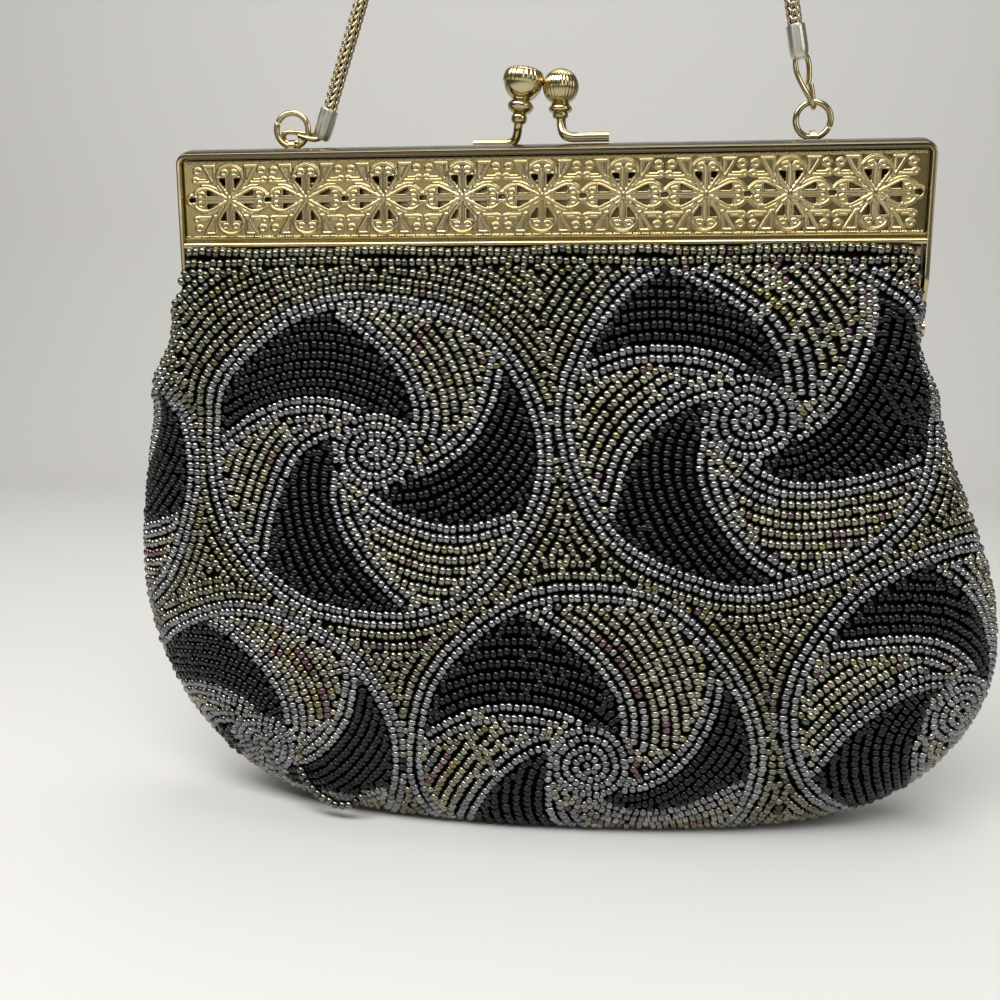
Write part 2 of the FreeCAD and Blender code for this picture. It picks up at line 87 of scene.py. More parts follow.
# Frame: rise of the domed top, height of the face, taper of the sides, radius of the corners, thickness of the
# metal, height over which an arm widens from its ear, radius of an ear and height of the rail. The back half's
# arms step in near the hinge, to lie inside the front half's.
CROWN = 1.5
FACE_TOP = FRAME_HIGH[2] - CROWN
FACE_HEIGHT = 19.0
RAIL_BOTTOM = FACE_TOP - FACE_HEIGHT
CROWN_RADIUS = (FACE_Y ** 2 + CROWN ** 2) / (2 * CROWN)
SIDE_TAPER = math.tan(math.radians(0.4))
CORNER = 2.2
SHEET = 0.8
ARM_FLARE = 9.0
EAR = 3.0
RAIL = 2.4
BACK_STEP = 1.0
STEP_HEIGHT = 9.4
STEP_FADE = 6.0

# Pouch: reach to the left (-1) and right (1) of the frame's middle, and half depth, from base to neck
RIM_Z = PANEL_HIGH[2]
BASE_REACH = {-1: 44.0, 1: 52.0}
BELLY_REACH = {-1: MID_X - PANEL_LOW[0] + 1.0, 1: PANEL_HIGH[0] - MID_X + 0.6}
BELLY_HEIGHT = {-1: 54.0, 1: 39.0}
RIM_REACH = {-1: 84.0, 1: 78.7}
NECK_FOOT = {-1: 77.8, 1: 74.3}
NECK_TOP = {-1: 75.2, 1: 74.5}
NECK_TUCK = {-1: 0.3, 1: 2.6}
BASE_DEPTH = 12.0
BELLY_DEPTH = -PANEL_LOW[1]
BELLY_DEPTH_HEIGHT = 36.0
RIM_DEPTH = 12.8
NECK_DRAW = 3.7
NECK_START = 90.0
NECK_RISE = 12.0
TUCK_HEIGHT = 4.0
TUCK_RISE = 4.5
CLOTH_TOP = RAIL_BOTTOM - 0.2


def smooth(share):
    """Smoothstep: 0 below 0, 1 above 1, and 3s^2 - 2s^3 between."""
    share = np.clip(share, 0.0, 1.0)
    return share * share * (3 - 2 * share)


def linear(text):
    """Linear colour of an sRGB hex value such as #D9C07A."""
    parts = [int(text[i:i + 2], 16) / 255 for i in (1, 3, 5)]
    return [v / 12.92 if v <= 0.04045 else ((v + 0.055) / 1.055) ** 2.4 for v in parts] + [1.0]


# Material helpers


def add_node(tree, kind, inputs, **settings):
    """Add a node: settings are its own properties, and inputs give its sockets a value or an output to link."""
    node = tree.nodes.new(kind)
    for key, value in settings.items():
        setattr(node, key, value)
    for key, value in inputs.items():
        if isinstance(value, bpy.types.NodeSocket):
            tree.links.new(value, node.inputs[key])
        else:
            node.inputs[key].default_value = value
    return node


def new_material(name):
    """Empty node material and its tree."""
    material = bpy.data.materials.new(name)
    material.use_nodes = True
    material.node_tree.nodes.clear()
    return material, material.node_tree


def close_tree(tree, surface):
    """End a material's tree in a shader with these inputs, joined to the output."""
    shader = add_node(tree, "ShaderNodeBsdfPrincipled", surface)
    add_node(tree, "ShaderNodeOutputMaterial", {"Surface": shader.outputs["BSDF"]})


def patches(tree, size, detail, *ranges):
    """Soft patches of about a size in millimetres, as one value for each range of low and high."""
    place = add_node(tree, "ShaderNodeTexCoord", {})
    cloud = add_node(tree, "ShaderNodeTexNoise",
                     {"Vector": place.outputs["Object"], "Scale": 1 / (size * MM), "Detail": detail})
    drifts = []
    for low, high in ranges:
        drift = add_node(tree, "ShaderNodeMapRange", {"Value": cloud.outputs["Fac"], "From Min": 0.3,
                                                      "From Max": 0.7, "To Min": low, "To Max": high})
        drifts.append(drift.outputs["Result"])
    return drifts


def metal(name, bright, dull, roughness, darker_tone=None):
    """Plated metal: two close tones and a gloss that both drift in hazy patches, over fine tumbling marks.

    A third, darker colour is mixed in by a point attribute: a stamped plate's hollows, and on a rim's top edge
    brown tarnish with a painted dark reflection.
    """
    haze_size, mark_size, mark_depth = 8.0, 1.3, 0.05
    material, tree = new_material(name)
    tone, gloss = patches(tree, haze_size, 4.0, (0.0, 1.0), (roughness - 0.05, roughness + 0.08))
    layers = [(tone, dull)]
    if darker_tone:
        darker_share = add_node(tree, "ShaderNodeAttribute", {}, attribute_name="darker_share")
        layers.append((darker_share.outputs["Fac"], darker_tone))
    colour = linear(bright)
    for share, layer in layers:
        mix = add_node(tree, "ShaderNodeMix", {0: share, 6: colour, 7: linear(layer)}, data_type="RGBA")
        colour = mix.outputs[2]
    place = add_node(tree, "ShaderNodeTexCoord", {})
    marks = add_node(tree, "ShaderNodeTexNoise",
                     {"Vector": place.outputs["Object"], "Scale": 1 / (mark_size * MM), "Detail": 3.0})
    bump = add_node(tree, "ShaderNodeBump",
                    {"Height": marks.outputs["Fac"], "Strength": 0.06, "Distance": mark_depth * MM})
    close_tree(tree, {"Base Color": colour, "Metallic": 1.0, "Roughness": gloss,
                      "Normal": bump.outputs["Normal"]})
    return material


def bead_glass(name, metallic, roughness, gloss):
    """Pressed glass seed beads: each bead's own tint under a fire-polished face, a little duller in patches."""
    patch_size = 3.0
    material, tree = new_material(name)
    tint = add_node(tree, "ShaderNodeAttribute", {}, attribute_name="bead_tint")
    polish = patches(tree, patch_size, 2.0, (roughness - 0.04, roughness + 0.05))[0]
    close_tree(tree, {"Base Color": tint.outputs["Color"], "Metallic": metallic, "Specular IOR Level": gloss,
                      "Roughness": polish})
    return material


def cloth(name, colour, thread, roughness, sheen, gloss):
    """Woven cloth: warp and weft in object space at a thread spacing in millimetres, and soft uneven dye."""
    dye_size, weave_depth = 14.0, 0.12
    material, tree = new_material(name)
    place = add_node(tree, "ShaderNodeTexCoord", {})
    weave = add_node(tree, "ShaderNodeTexChecker",
                     {"Vector": place.outputs["Object"], "Scale": 1 / (thread * MM)})
    bump = add_node(tree, "ShaderNodeBump",
                    {"Height": weave.outputs["Fac"], "Strength": 0.35, "Distance": weave_depth * MM})
    dye = patches(tree, dye_size, 3.0, (0.75, 1.25))[0]
    tone = add_node(tree, "ShaderNodeVectorMath", {0: linear(colour)[:3], "Scale": dye}, operation="SCALE")
    close_tree(tree, {"Base Color": tone.outputs["Vector"], "Roughness": roughness, "Sheen Weight": sheen,
                      "Specular IOR Level": gloss, "Normal": bump.outputs["Normal"]})
    return material


# Mesh helpers


def grid_faces(rows, columns, wrap=False):
    """Quads of a grid of points, row by row. With wrap the last column joins the first."""
    index = np.arange(rows * columns).reshape(rows, columns)
    if wrap:
        index = np.hstack([index, index[:, :1]])
    corners = (index[:-1, :-1], index[:-1, 1:], index[1:, 1:], index[1:, :-1])
    return np.stack(corners, axis=-1).reshape(-1, 4)


def outward(points, faces):
    """Faces of a closed skin turned outwards: the signed volume of its fans of corners is made positive."""
    total = 0.0
    for face in faces:
        first = points[face[:, 0]]
        for k in range(1, face.shape[1] - 1):
            total += (first * np.cross(points[face[:, k]], points[face[:, k + 1]])).sum()
    return faces if total > 0 else [face[:, ::-1] for face in faces]


def skin(loops):
    """Closed skin over loops of equal count: quads between neighbours and one face over each end."""
    rows, columns = loops.shape[:2]
    points = loops.reshape(-1, 3)
    ends = np.stack([np.arange(columns)[::-1], np.arange(columns) + (rows - 1) * columns])
    return points, outward(points - points.mean(axis=0), [grid_faces(rows, columns, wrap=True), ends])


def joined(parts):
    """One set of points and faces from several."""
    points, faces, count = [], [], 0
    for part_points, part_faces in parts:
        points.append(part_points)
        faces += [face + count for face in part_faces]
        count += len(part_points)
    return np.concatenate(points), faces


def facing(shape, side):
    """A shape of the front as it is, or mirrored for the back, with its faces turned to stay outwards."""
    if side == FRONT_SIDE:
        return shape
    points, faces = shape
    return points * [1.0, -1.0, 1.0], [face[:, ::-1] for face in faces]


def new_piece(name, shape, material, sharp=None):
    """Mesh object from points in millimetres and arrays of faces."""
    points, faces = shape
    mesh = bpy.data.meshes.new(name)
    mesh.vertices.add(len(points))
    mesh.vertices.foreach_set("co", (points * MM).ravel())
    corners = np.concatenate([face.ravel() for face in faces])
    sizes = np.concatenate([np.full(len(face), face.shape[1]) for face in faces])
    mesh.loops.add(len(corners))
    mesh.loops.foreach_set("vertex_index", corners.astype(np.int32))
    mesh.polygons.add(len(sizes))
    starts = np.concatenate([[0], np.cumsum(sizes)[:-1]])
    mesh.polygons.foreach_set("loop_start", starts.astype(np.int32))
    mesh.update(calc_edges=True)
    mesh.validate()
    mesh.shade_smooth()
    if sharp is not None:
        mesh.set_sharp_from_angle(angle=math.radians(sharp))
    mesh.materials.append(material)
    piece = bpy.data.objects.new(name, mesh)
    bpy.context.scene.collection.objects.link(piece)
    return piece


def dress(piece, body, slot, *nodes):
    """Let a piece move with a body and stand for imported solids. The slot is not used."""
    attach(piece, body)
    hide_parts(*nodes)


def paint_darker_share(piece, share):
    """Keep how far each point takes the metal's third, darker colour: a stamped plate's hollows, and a rim's top
    edge with its tarnish and painted dark reflection.
    """
    layer = piece.data.attributes.new("darker_share", "FLOAT", "POINT")
    layer.data.foreach_set("value", share.astype(np.float32))


def unit(vectors):
    """Vectors scaled to length one."""
    return vectors / np.linalg.norm(vectors, axis=-1, keepdims=True)


def run_along(line):
    """Distance along a line of points, from its start."""
    return np.concatenate([[0.0], np.cumsum(np.linalg.norm(np.diff(line, axis=0), axis=1))])


def resampled(line, count):
    """Points at even distances along a line."""
    run = run_along(line)
    stations = np.linspace(0.0, run[-1], count)
    return np.stack([np.interp(stations, run, line[:, k]) for k in range(line.shape[1])], axis=-1)


def curved(points, count):
    """Smooth line through points: cubic pieces whose slopes are half the step between the neighbours."""
    points = np.asarray(points, float)
    slope = np.gradient(points, axis=0)
    place = np.linspace(0.0, len(points) - 1, 4 * count)
    low = np.minimum(place.astype(int), len(points) - 2)
    t = (place - low)[:, None]
    line = ((2 * t ** 3 - 3 * t ** 2 + 1) * points[low] + (t ** 3 - 2 * t ** 2 + t) * slope[low]
            + (3 * t ** 2 - 2 * t ** 3) * points[low + 1] + (t ** 3 - t ** 2) * slope[low + 1])
    return resampled(line, count)


def carried_frames(line):
    """Directions along and across a line. The first across is carried along with no twist."""
    along = unit(np.gradient(line, axis=0))
    across = np.zeros_like(along)
    seed = np.eye(3)[np.abs(along[0]).argmin()]
    for k, direction in enumerate(along):
        seed = unit(seed - direction * (seed @ direction))
        across[k] = seed
    return along, across, np.cross(along, across)


def tube(line, radius, sides):
    """Round wire along a line of points."""
    along, across, lift = carried_frames(line)
    turn = np.arange(sides) * 2 * math.pi / sides
    ring = np.cos(turn)[None, :, None] * across[:, None, :] + np.sin(turn)[None, :, None] * lift[:, None, :]
    return skin(line[:, None, :] + radius * ring)


def turned(profile, sides, centre, axis=(0.0, 0.0, 1.0), ribs=None):
    """Lathe: a profile of (radius, height) round an axis through a centre.

    Ribs are a function of angle and height that scales the radius.
    """
    profile = np.asarray(profile, float)
    axis = unit(np.asarray(axis, float))
    first = unit(np.cross([0.0, 1.0, 0.0], axis))
    second = np.cross(axis, first)
    turn = np.arange(sides) * 2 * math.pi / sides
    radius = profile[:, :1] * np.ones((1, sides))
    if ribs is not None:
        radius = radius * ribs(turn[None, :], profile[:, 1:])
    loops = ((radius * np.cos(turn))[..., None] * first + (radius * np.sin(turn))[..., None] * second
             + profile[:, 1:, None] * axis)
    return skin(loops + np.asarray(centre, float))


# Surface of the pouch


def half_width(z):
    """Outer half width of the tapered frame at a height."""
    return HALF_FRAME - (FACE_TOP - z) * SIDE_TAPER


def swell(z, base, belly, height, rim):
    """Outline of the pouch: a quarter ellipse up to the belly, then a cosine waist up to the rim."""
    rise = np.clip(1 - z / height, 0.0, 1.0)
    share = np.clip((z - height) / (RIM_Z - height), 0.0, 1.0)
    low = base + (belly - base) * np.sqrt(1 - rise ** 2)
    high = rim + (belly - rim) * (1 + np.cos(math.pi * share)) / 2
    return np.where(z < height, low, high)


class Meridian:
    """Outer face of the pouch's front, by distance q up its middle line and distance p along a level.

    A level is half a superellipse |x/a|^n + |y/b|^n = 1 with its own reach a to each side. The power n grows
    from 2 in the pouch to a flat curve with tight corners in the neck. Distance q equals height at MATCH.
    """

    MATCH = 60.0
    # Points from the middle to the edge of the base, up the front, and along half a level
    UNDER = 24
    UPWARD = 420
    STEPS = 96
    # Slit beside a hinge's ear: its half width, and the height over which it opens. Above it the cloth only
    # just wraps round the neck's corner.
    SLIT = 5.2
    SLIT_HEIGHT = 9.0
    NECK_WRAP = 0.6

    def __init__(self):
        under = np.linspace(0.0, 1.0, self.UNDER)[:-1]
        z = CLOTH_TOP * np.linspace(0.0, 1.0, self.UPWARD) ** 2
        self.z = np.concatenate([0 * under, z])
        draw = NECK_DRAW * smooth((z - HINGE_Z) / (CLOTH_TOP - HINGE_Z))
        depth = swell(z, BASE_DEPTH, BELLY_DEPTH, BELLY_DEPTH_HEIGHT, RIM_DEPTH) - draw
        self.depth = np.concatenate([BASE_DEPTH * under, depth])
        q = run_along(np.stack([self.z, self.depth], axis=-1))
        self.q = q + self.MATCH - np.interp(self.MATCH, self.z, q)
        above = self.z - HINGE_Z
        self.power = 2.0 + 4.0 * smooth((above + 20.0) / 20.0) + 14.0 * smooth(above / NECK_RISE)
        slit = self.SLIT * smooth((above + self.SLIT_HEIGHT) / self.SLIT_HEIGHT)
        self.edge = slit + (self.depth - self.NECK_WRAP - slit) * smooth(above / ARM_FLARE)
        self.wide = {}
        self.reach = {}
        for side in (-1, 1):
            wide = swell(z, BASE_REACH[side], BELLY_REACH[side], BELLY_HEIGHT[side], RIM_REACH[side])
            rise = (z - HINGE_Z) / NECK_RISE
            neck = NECK_FOOT[side] + (NECK_TOP[side] - NECK_FOOT[side]) * rise
            neck = neck - NECK_TUCK[side] * smooth((z - RAIL_BOTTOM + TUCK_HEIGHT) / TUCK_RISE)
            wide = wide + (neck - wide) * smooth((z - NECK_START) / NECK_RISE)
            self.wide[side] = np.concatenate([BASE_REACH[side] * (0.85 + 0.15 * under), wide])
            run, x, y = self.level(self.wide[side], self.depth, self.power)
            last = (y >= self.edge[:, None] - 1e-9).sum(axis=1) - 1
            self.reach[side] = run[np.arange(len(last)), last]

    def level(self, wide, depth, power):
        """Distance along a level from its middle, with x and y, at even steps of the angle."""
        sine = np.sin(np.linspace(0.0, math.pi / 2, self.STEPS))[None, :]
        x = wide[:, None] * sine
        y = depth[:, None] * np.clip(1 - sine ** power[:, None], 0.0, 1.0) ** (1 / power[:, None])
        step = np.hypot(np.diff(x, axis=1), np.diff(y, axis=1))
        return np.concatenate([np.zeros((len(wide), 1)), np.cumsum(step, axis=1)], axis=1), x, y

    def at(self, q, values):
        """Value at a distance up the middle line."""
        return np.interp(q, self.q, values)

    def limit(self, p, q):
        """Distance from the middle to the sheet's side edge, on the side that p is on."""
        return np.where(p < 0, self.at(q, self.reach[-1]), self.at(q, self.reach[1]))

    def outer(self, p, q):
        """Points of the outer face."""
        wide = np.where(p < 0, self.at(q, self.wide[-1]), self.at(q, self.wide[1]))
        run, x, y = self.level(wide, self.at(q, self.depth), self.at(q, self.power))
        target = np.minimum(np.abs(p), run[:, -1] - 1e-6)
        high = np.clip((run < target[:, None]).sum(axis=1), 1, self.STEPS - 1)
        rows = np.arange(len(p))
        low = high - 1
        share = (target - run[rows, low]) / np.maximum(run[rows, high] - run[rows, low], 1e-9)
        across = x[rows, low] + share * (x[rows, high] - x[rows, low])
        deep = y[rows, low] + share * (y[rows, high] - y[rows, low])
        return np.stack([MID_X + np.sign(p) * across, -deep, self.at(q, self.z)], axis=-1)

    def normal(self, p, q):
        """Outward direction, from the differences of the outer face along p and q."""
        e = 0.2
        along = self.outer(p + e, q) - self.outer(p - e, q)
        upward = self.outer(p, q + e) - self.outer(p, q - e)
        return unit(np.cross(along, upward) + [0.0, -1e-9, 0.0])

    def sheet(self, p, q, inset):
        """Points that lie a set distance inside the outer face."""
        shape = np.shape(p)
        p, q = np.ravel(p), np.ravel(q)
        return (self.outer(p, q) - inset * self.normal(p, q)).reshape(*shape, 3)

    def shell(self, rows, columns, outer_inset, inner_inset):
        """Closed double wall from edge to edge of the sheet, between two insets."""
        q = np.linspace(self.q[0], self.q[-1], rows)
        share = np.linspace(-1.0, 1.0, columns)[None, :]
        share = (share + np.sin(share * math.pi / 2)) / 2
        left, right = (self.at(q, self.reach[hand])[:, None] for hand in (-1, 1))
        p = np.where(share < 0, left, right) * share
        q = q[:, None] + 0 * p
        outer, inner = self.sheet(p, q, outer_inset), self.sheet(p, q, inner_inset)
        return skin(np.concatenate([outer, inner[:, ::-1]], axis=1))


MERIDIAN = Meridian()


def neck_blend(piece):
    """Bake a piece's placement into its points."""
    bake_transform(piece)


# Beadwork

# A bead is a barrel: place along the thread and girth of each ring of points, as shares of its half sizes.
# Handwork shows in how far beads turn and shift, and pressing in how far their lengths and widths differ.
BEAD_SIDES = 8
BARREL = ((-1.0, 0.66), (-0.58, 1.0), (0.58, 1.0), (1.0, 0.66))
BEAD_TURN = 0.16
BEAD_SHIFT = 0.08
BEAD_LENGTHS = (0.93, 1.04)
BEAD_WIDTHS = (0.88, 1.05)

# Pinwheels: middle along the level and up the front, then the stretch to the left, right, below and above.
# Under each one stand the rim angles at which its blades meet, black first and then bronze in turn.
CIRCLES = ((-32.9, 80.2, 1.11, 1.04, 1.05, 0.92), (41.0, 86.8, 1.08, 1.20, 1.01, 1.06),
           (11.6, 15.9, 1.11, 1.01, 1.00, 1.13), (-59.4, 15.1, 1.12, 0.95, 1.00, 0.93),
           (89.0, 26.3, 1.15, 1.00, 0.90, 1.06), (-107.6, 73.0, 1.00, 1.00, 1.00, 1.00))
EDGE_ANGLES = ((110.0, 182.0, 232.0, 288.0, 344.0, 402.0), (121.0, 167.0, 223.0, 287.0, 353.0, 418.0),
               (118.0, 176.0, 227.0, 287.0, 360.0, 400.0), (116.0, 172.0, 225.0, 287.0, 352.0, 406.0),
               (111.0, 156.0, 210.0, 282.0, 348.0, 404.0), (114.0, 170.0, 224.0, 286.0, 351.0, 404.0))
# A blade's edge turns by this many degrees each time its distance from the middle grows e times
SWIRL = 56.5
# Slack strand: place across, height, and how far it stands off the pouch
LOOSE_STRAND = ((-51.0, 11.6, -1.0), (-49.8, 9.2, 1.0), (-46.3, 5.6, 2.7),
                (-41.9, 3.5, 3.2), (-38.2, 4.4, 1.6), (-36.6, 6.6, -1.0))
JET, SILVER, BRONZE, GROUND = "jet", "silver", "bronze", "ground"


def stretches(circle, du, dv):
    """Stretch of a circle across and up, by the side of its middle that a point is on."""
    left, right, low, high = np.array(CIRCLES)[circle, 2:].T
    return np.where(du < 0, left, right), np.where(dv < 0, low, high)


class BeadLayout:
    """Rows of beads on one side of the pouch, laid in order, each bead kept only where it has room."""

    # Spacing along a thread, as a share of a bead's length
    SPACING = 1.04
    # Shares of a row: room that a bead in a row needs, and one that fills a gap, and how close silver rows lie
    ROOM = 0.74
    FILL_ROOM = 0.62
    CLOSE = 0.94
    # Height under the rail that is left to the two loose strands
    STRANDS_HEIGHT = 3.6

    def __init__(self, sizes, flip, seed):
        self.pitch = sizes.bead_length / MM * self.SPACING
        self.row = sizes.row_pitch / MM
        self.radius = sizes.circle_radius / MM
        self.hub = sizes.hub_radius / MM
        self.depth = sizes.bead_width / MM / 2
        self.room = self.ROOM * self.row
        self.flip = flip
        self.random = np.random.default_rng(seed)
        self.rows = []
        self.laid = np.zeros((0, 3))
        self.top = np.interp(RAIL_BOTTOM - self.STRANDS_HEIGHT, MERIDIAN.z, MERIDIAN.q)
        self.bottom = MERIDIAN.q[0] + 1.0

    def place(self, u, v):
        """Nearest circle, distance from its middle and the rim angle that the point's spiral leads to."""
        centres = np.array(CIRCLES)
        du = u[:, None] - centres[None, :, 0]
        dv = v[:, None] - centres[None, :, 1]
        wide, tall = stretches(slice(None), du, dv)
        du, dv = du / wide, dv / tall
        far = np.hypot(du, dv)
        nearest = far.argmin(axis=1)
        rows = np.arange(len(u))
        r = np.maximum(far[rows, nearest], 1e-3)
        angle = np.degrees(np.arctan2(dv[rows, nearest], du[rows, nearest]))
        first = np.array(EDGE_ANGLES)[nearest, 0]
        return nearest, r, (angle + SWIRL * np.log(self.radius / r) - first) % 360 + first

    def gap(self, centre):
        """Distance from each point to the nearest bead that is already laid."""
        inside = (self.laid > centre.min(axis=0) - 3) & (self.laid < centre.max(axis=0) + 3)
        near = self.laid[inside.all(axis=1)]
        if len(near) == 0:
            return np.full(len(centre), 99.0)
        return np.linalg.norm(centre[:, None, :] - near[None, :, :], axis=-1).min(axis=1)

    def keep_row(self, kind, centre, along, normal):
        """Note a row of beads as laid."""
        self.rows.append({"kind": kind, "centre": centre, "along": along, "normal": normal})
        self.laid = np.concatenate([self.laid, centre])

    def add(self, kind, circle, line, keep, room=1.0):
        """Lay one row along a line round a circle. Two sine waves make all rows wander as if by hand."""
        wide, tall = stretches(circle, line[:, 0], line[:, 1])
        u, v = CIRCLES[circle][0] + wide * line[:, 0], CIRCLES[circle][1] + tall * line[:, 1]
        wander_u, wander_v = 0.35 * np.sin(v / 5.3 + u / 11.0), 0.35 * np.sin(u / 4.7 - v / 13.0)
        self.add_line(kind, u + wander_u, v + wander_v, keep, room)

    def add_line(self, kind, u, v, keep, room=1.0):
        """Lay one row along points of the sheet: beads at even steps, where keep says so and there is room."""
        p = self.flip * u
        inside = (np.abs(p) < MERIDIAN.limit(p, v) + 6) & (v > self.bottom - 4) & (v < MERIDIAN.q[-1])
        if inside.sum() < 2:
            return
        first = inside.argmax()
        last = len(inside) - inside[::-1].argmax()
        p, v = p[first:last], v[first:last]
        thread = MERIDIAN.sheet(p, v, self.depth)
        run = run_along(thread)
        stations = np.arange(self.random.uniform(0, self.pitch), run[-1], self.pitch)
        if len(stations) == 0:
            return
        bead_p = np.interp(stations, run, p)
        bead_v = np.interp(stations, run, v)
        centre, ahead, behind = (
            np.stack([np.interp(stations + shift, run, thread[:, k]) for k in range(3)], axis=-1)
            for shift in (0.0, 0.4, -0.4))
        good = keep(self.flip * bead_p, bead_v)
        good &= np.abs(bead_p) < MERIDIAN.limit(bead_p, bead_v) - 0.5
        good &= bead_v > self.bottom
        good &= self.gap(centre) > room * self.room
        if good.any():
            self.keep_row(kind, centre[good], unit(ahead - behind + 1e-9)[good],
                          MERIDIAN.normal(bead_p[good], bead_v[good]))

    def round_line(self, r):
        """Full turn at a distance from a circle's middle."""
        turn = np.radians(np.arange(0.0, 361.0, 1.2))
        return r * np.stack([np.cos(turn), np.sin(turn)], axis=-1)

    def spiral(self, rim_angle, offset):
        """Line beside a blade's edge: the logarithmic spiral to a rim angle, moved clockwise by an offset."""
        r = np.geomspace(0.12 * self.radius, 1.7 * self.radius, 240)
        angle = np.radians(rim_angle - SWIRL * np.log(self.radius / r))
        line = r[:, None] * np.stack([np.cos(angle), np.sin(angle)], axis=-1)
        along = unit(np.gradient(line, axis=0))
        return line + offset * np.stack([along[:, 1], -along[:, 0]], axis=-1)

    def lay_strands(self):
        """Two loose strands right under the rail."""
        u = np.linspace(-74.0, 74.0, 300)
        for drop, phase in ((0.8, 0.0), (2.6, 1.7)):
            level = np.interp(RAIL_BOTTOM - drop, MERIDIAN.z, MERIDIAN.q)
            v = level + 0.22 * np.sin(u / 7.0 + phase) + 0.12 * np.sin(u / 2.9 + 2 * phase)
            self.add_line(GROUND, u, v, lambda u, v: np.full(len(u), True), room=0.9)

    def lay_circles(self):
        """Double outline of each circle and the spiral in its hub."""
        for inset in (0.0, self.CLOSE * self.row):
            for index in range(len(CIRCLES)):
                def own(u, v):
                    return (self.place(u, v)[0] == index) & (v < self.top)

                self.add(SILVER, index, self.round_line(self.radius - inset), own)
        coil = np.arange(0.6, 2 * math.pi * self.hub / self.row, 0.12)
        line = self.row * self.CLOSE * coil[:, None] / (2 * math.pi)
        line = line * np.stack([np.cos(coil + 1.0), np.sin(coil + 1.0)], axis=-1)
        for index in range(len(CIRCLES)):
            self.add(SILVER, index, line, lambda u, v: v < self.top, room=0.7)

    def lay_blades(self):
        """Three silver rows on the edges of the blades, the last one short, and then the blades' own rows.

        These lie beside each blade's leading edge, black and bronze in turn.
        """
        for step, share in ((0, 1.0), (1, 1.0), (2, 0.55)):
            inner, outer = self.hub + step * 1.2, share * self.radius - self.row
            for index in range(len(CIRCLES)):
                def on_edge(u, v):
                    nearest, r = self.place(u, v)[:2]
                    return (nearest == index) & (r > inner) & (r < outer) & (v < self.top)

                for edge, angle in enumerate(EDGE_ANGLES[index]):
                    towards_bronze = -1 if edge % 2 else 1
                    self.add(SILVER, index, self.spiral(angle, towards_bronze * step * self.row), on_edge)
        for index, angles in enumerate(EDGE_ANGLES):
            limits = angles + (angles[0] + 360,)
            for sector in range(len(angles)):
                for step in range(1, 17):
                    def in_blade(u, v):
                        nearest, r, rim = self.place(u, v)
                        here = (rim > limits[sector]) & (rim < limits[sector + 1])
                        return (nearest == index) & here & (r < self.radius) & (r > self.hub) & (v < self.top)

                    kind = BRONZE if sector % 2 else JET
                    self.add(kind, index, self.spiral(limits[sector + 1], step * self.row), in_blade)

    def lay_ground(self):
        """Rows that follow the circles from outside, each up to where another circle is nearer."""
        for step in range(1, 24):
            for index in range(len(CIRCLES)):
                def outside(u, v):
                    nearest, r = self.place(u, v)[:2]
                    return (nearest == index) & (r > self.radius) & (v < self.top)

                self.add(GROUND, index, self.round_line(self.radius + step * self.row), outside)

    def fill_gaps(self):
        """Single beads in the gaps that the rows have left, of the kind that their place asks for.

        They turn with the rows there: along the spiral in a blade and round the circle elsewhere.
        """
        lean = math.degrees(math.atan(math.radians(SWIRL)))
        for level in np.arange(self.bottom + 0.3, self.top, 0.5):
            p = np.arange(0.7 - MERIDIAN.limit(-1.0, level), MERIDIAN.limit(1.0, level) - 0.7, 0.5)
            q = np.full(len(p), level)
            free = np.flatnonzero(self.gap(MERIDIAN.sheet(p, q, self.depth)) > self.FILL_ROOM * self.row)
            chosen = []
            for spot in free:
                if not chosen or p[spot] - p[chosen[-1]] > 0.8 * self.row:
                    chosen.append(spot)
            if not chosen:
                continue
            p, q = p[chosen], q[chosen]
            nearest, r, rim = self.place(self.flip * p, q)
            bronze = (rim[:, None] >= np.array(EDGE_ANGLES)[nearest]).sum(axis=1) % 2 == 0
            blade = (r > self.hub) & (r < self.radius)
            turn = np.radians(rim - SWIRL * np.log(self.radius / r) + np.where(blade, lean, 90.0))
            centre = MERIDIAN.sheet(p, q, self.depth)
            ahead = MERIDIAN.sheet(p + 0.3 * self.flip * np.cos(turn), q + 0.3 * np.sin(turn), self.depth)
            kinds = np.where(blade, np.where(bronze, BRONZE, JET), np.where(r < self.radius, SILVER, GROUND))
            for kind in np.unique(kinds):
                here = kinds == kind
                self.keep_row(str(kind), centre[here], unit(ahead - centre + 1e-9)[here],
                              MERIDIAN.normal(p[here], q[here]))

    def lay_loose_strand(self):
        """A few beads on a slack thread that leaves the pouch low on the front and goes back into it.

        Below the neck a level is an ellipse, so the pouch's face is at y = depth * sqrt(1 - (x / reach)^2).
        """
        x, z, stand = curved(LOOSE_STRAND, 60).T
        q = np.interp(z, MERIDIAN.z, MERIDIAN.q)
        face = MERIDIAN.at(q, MERIDIAN.depth) * np.sqrt(1 - (x / MERIDIAN.at(q, MERIDIAN.wide[-1])) ** 2)
        line = np.stack([MID_X + x, -face - stand, z], axis=-1)
        line = resampled(line, int(run_along(line)[-1] / self.pitch))
        outwards = np.tile([0.0, -1.0, 0.0], (len(line), 1))
        self.keep_row(GROUND, line, unit(np.gradient(line, axis=0)), outwards)


def bead_tints(rows, palette, random):
    """Linear colours, one per bead: half the beads take their row's colour and half one of their own.

    The cubed random share makes the palette's first colours the commonest.
    """
    colours = np.array([linear(text)[:3] for text in palette])
    tints = []
    for row in rows:
        count = len(row["centre"])
        share = np.where(random.random(count) < 0.5, random.random(), random.random(count))
        pick = (len(colours) * share ** 3).astype(int)
        tints.append(colours[pick] * random.uniform(0.75, 1.25, size=(count, 1)))
    return np.concatenate(tints)


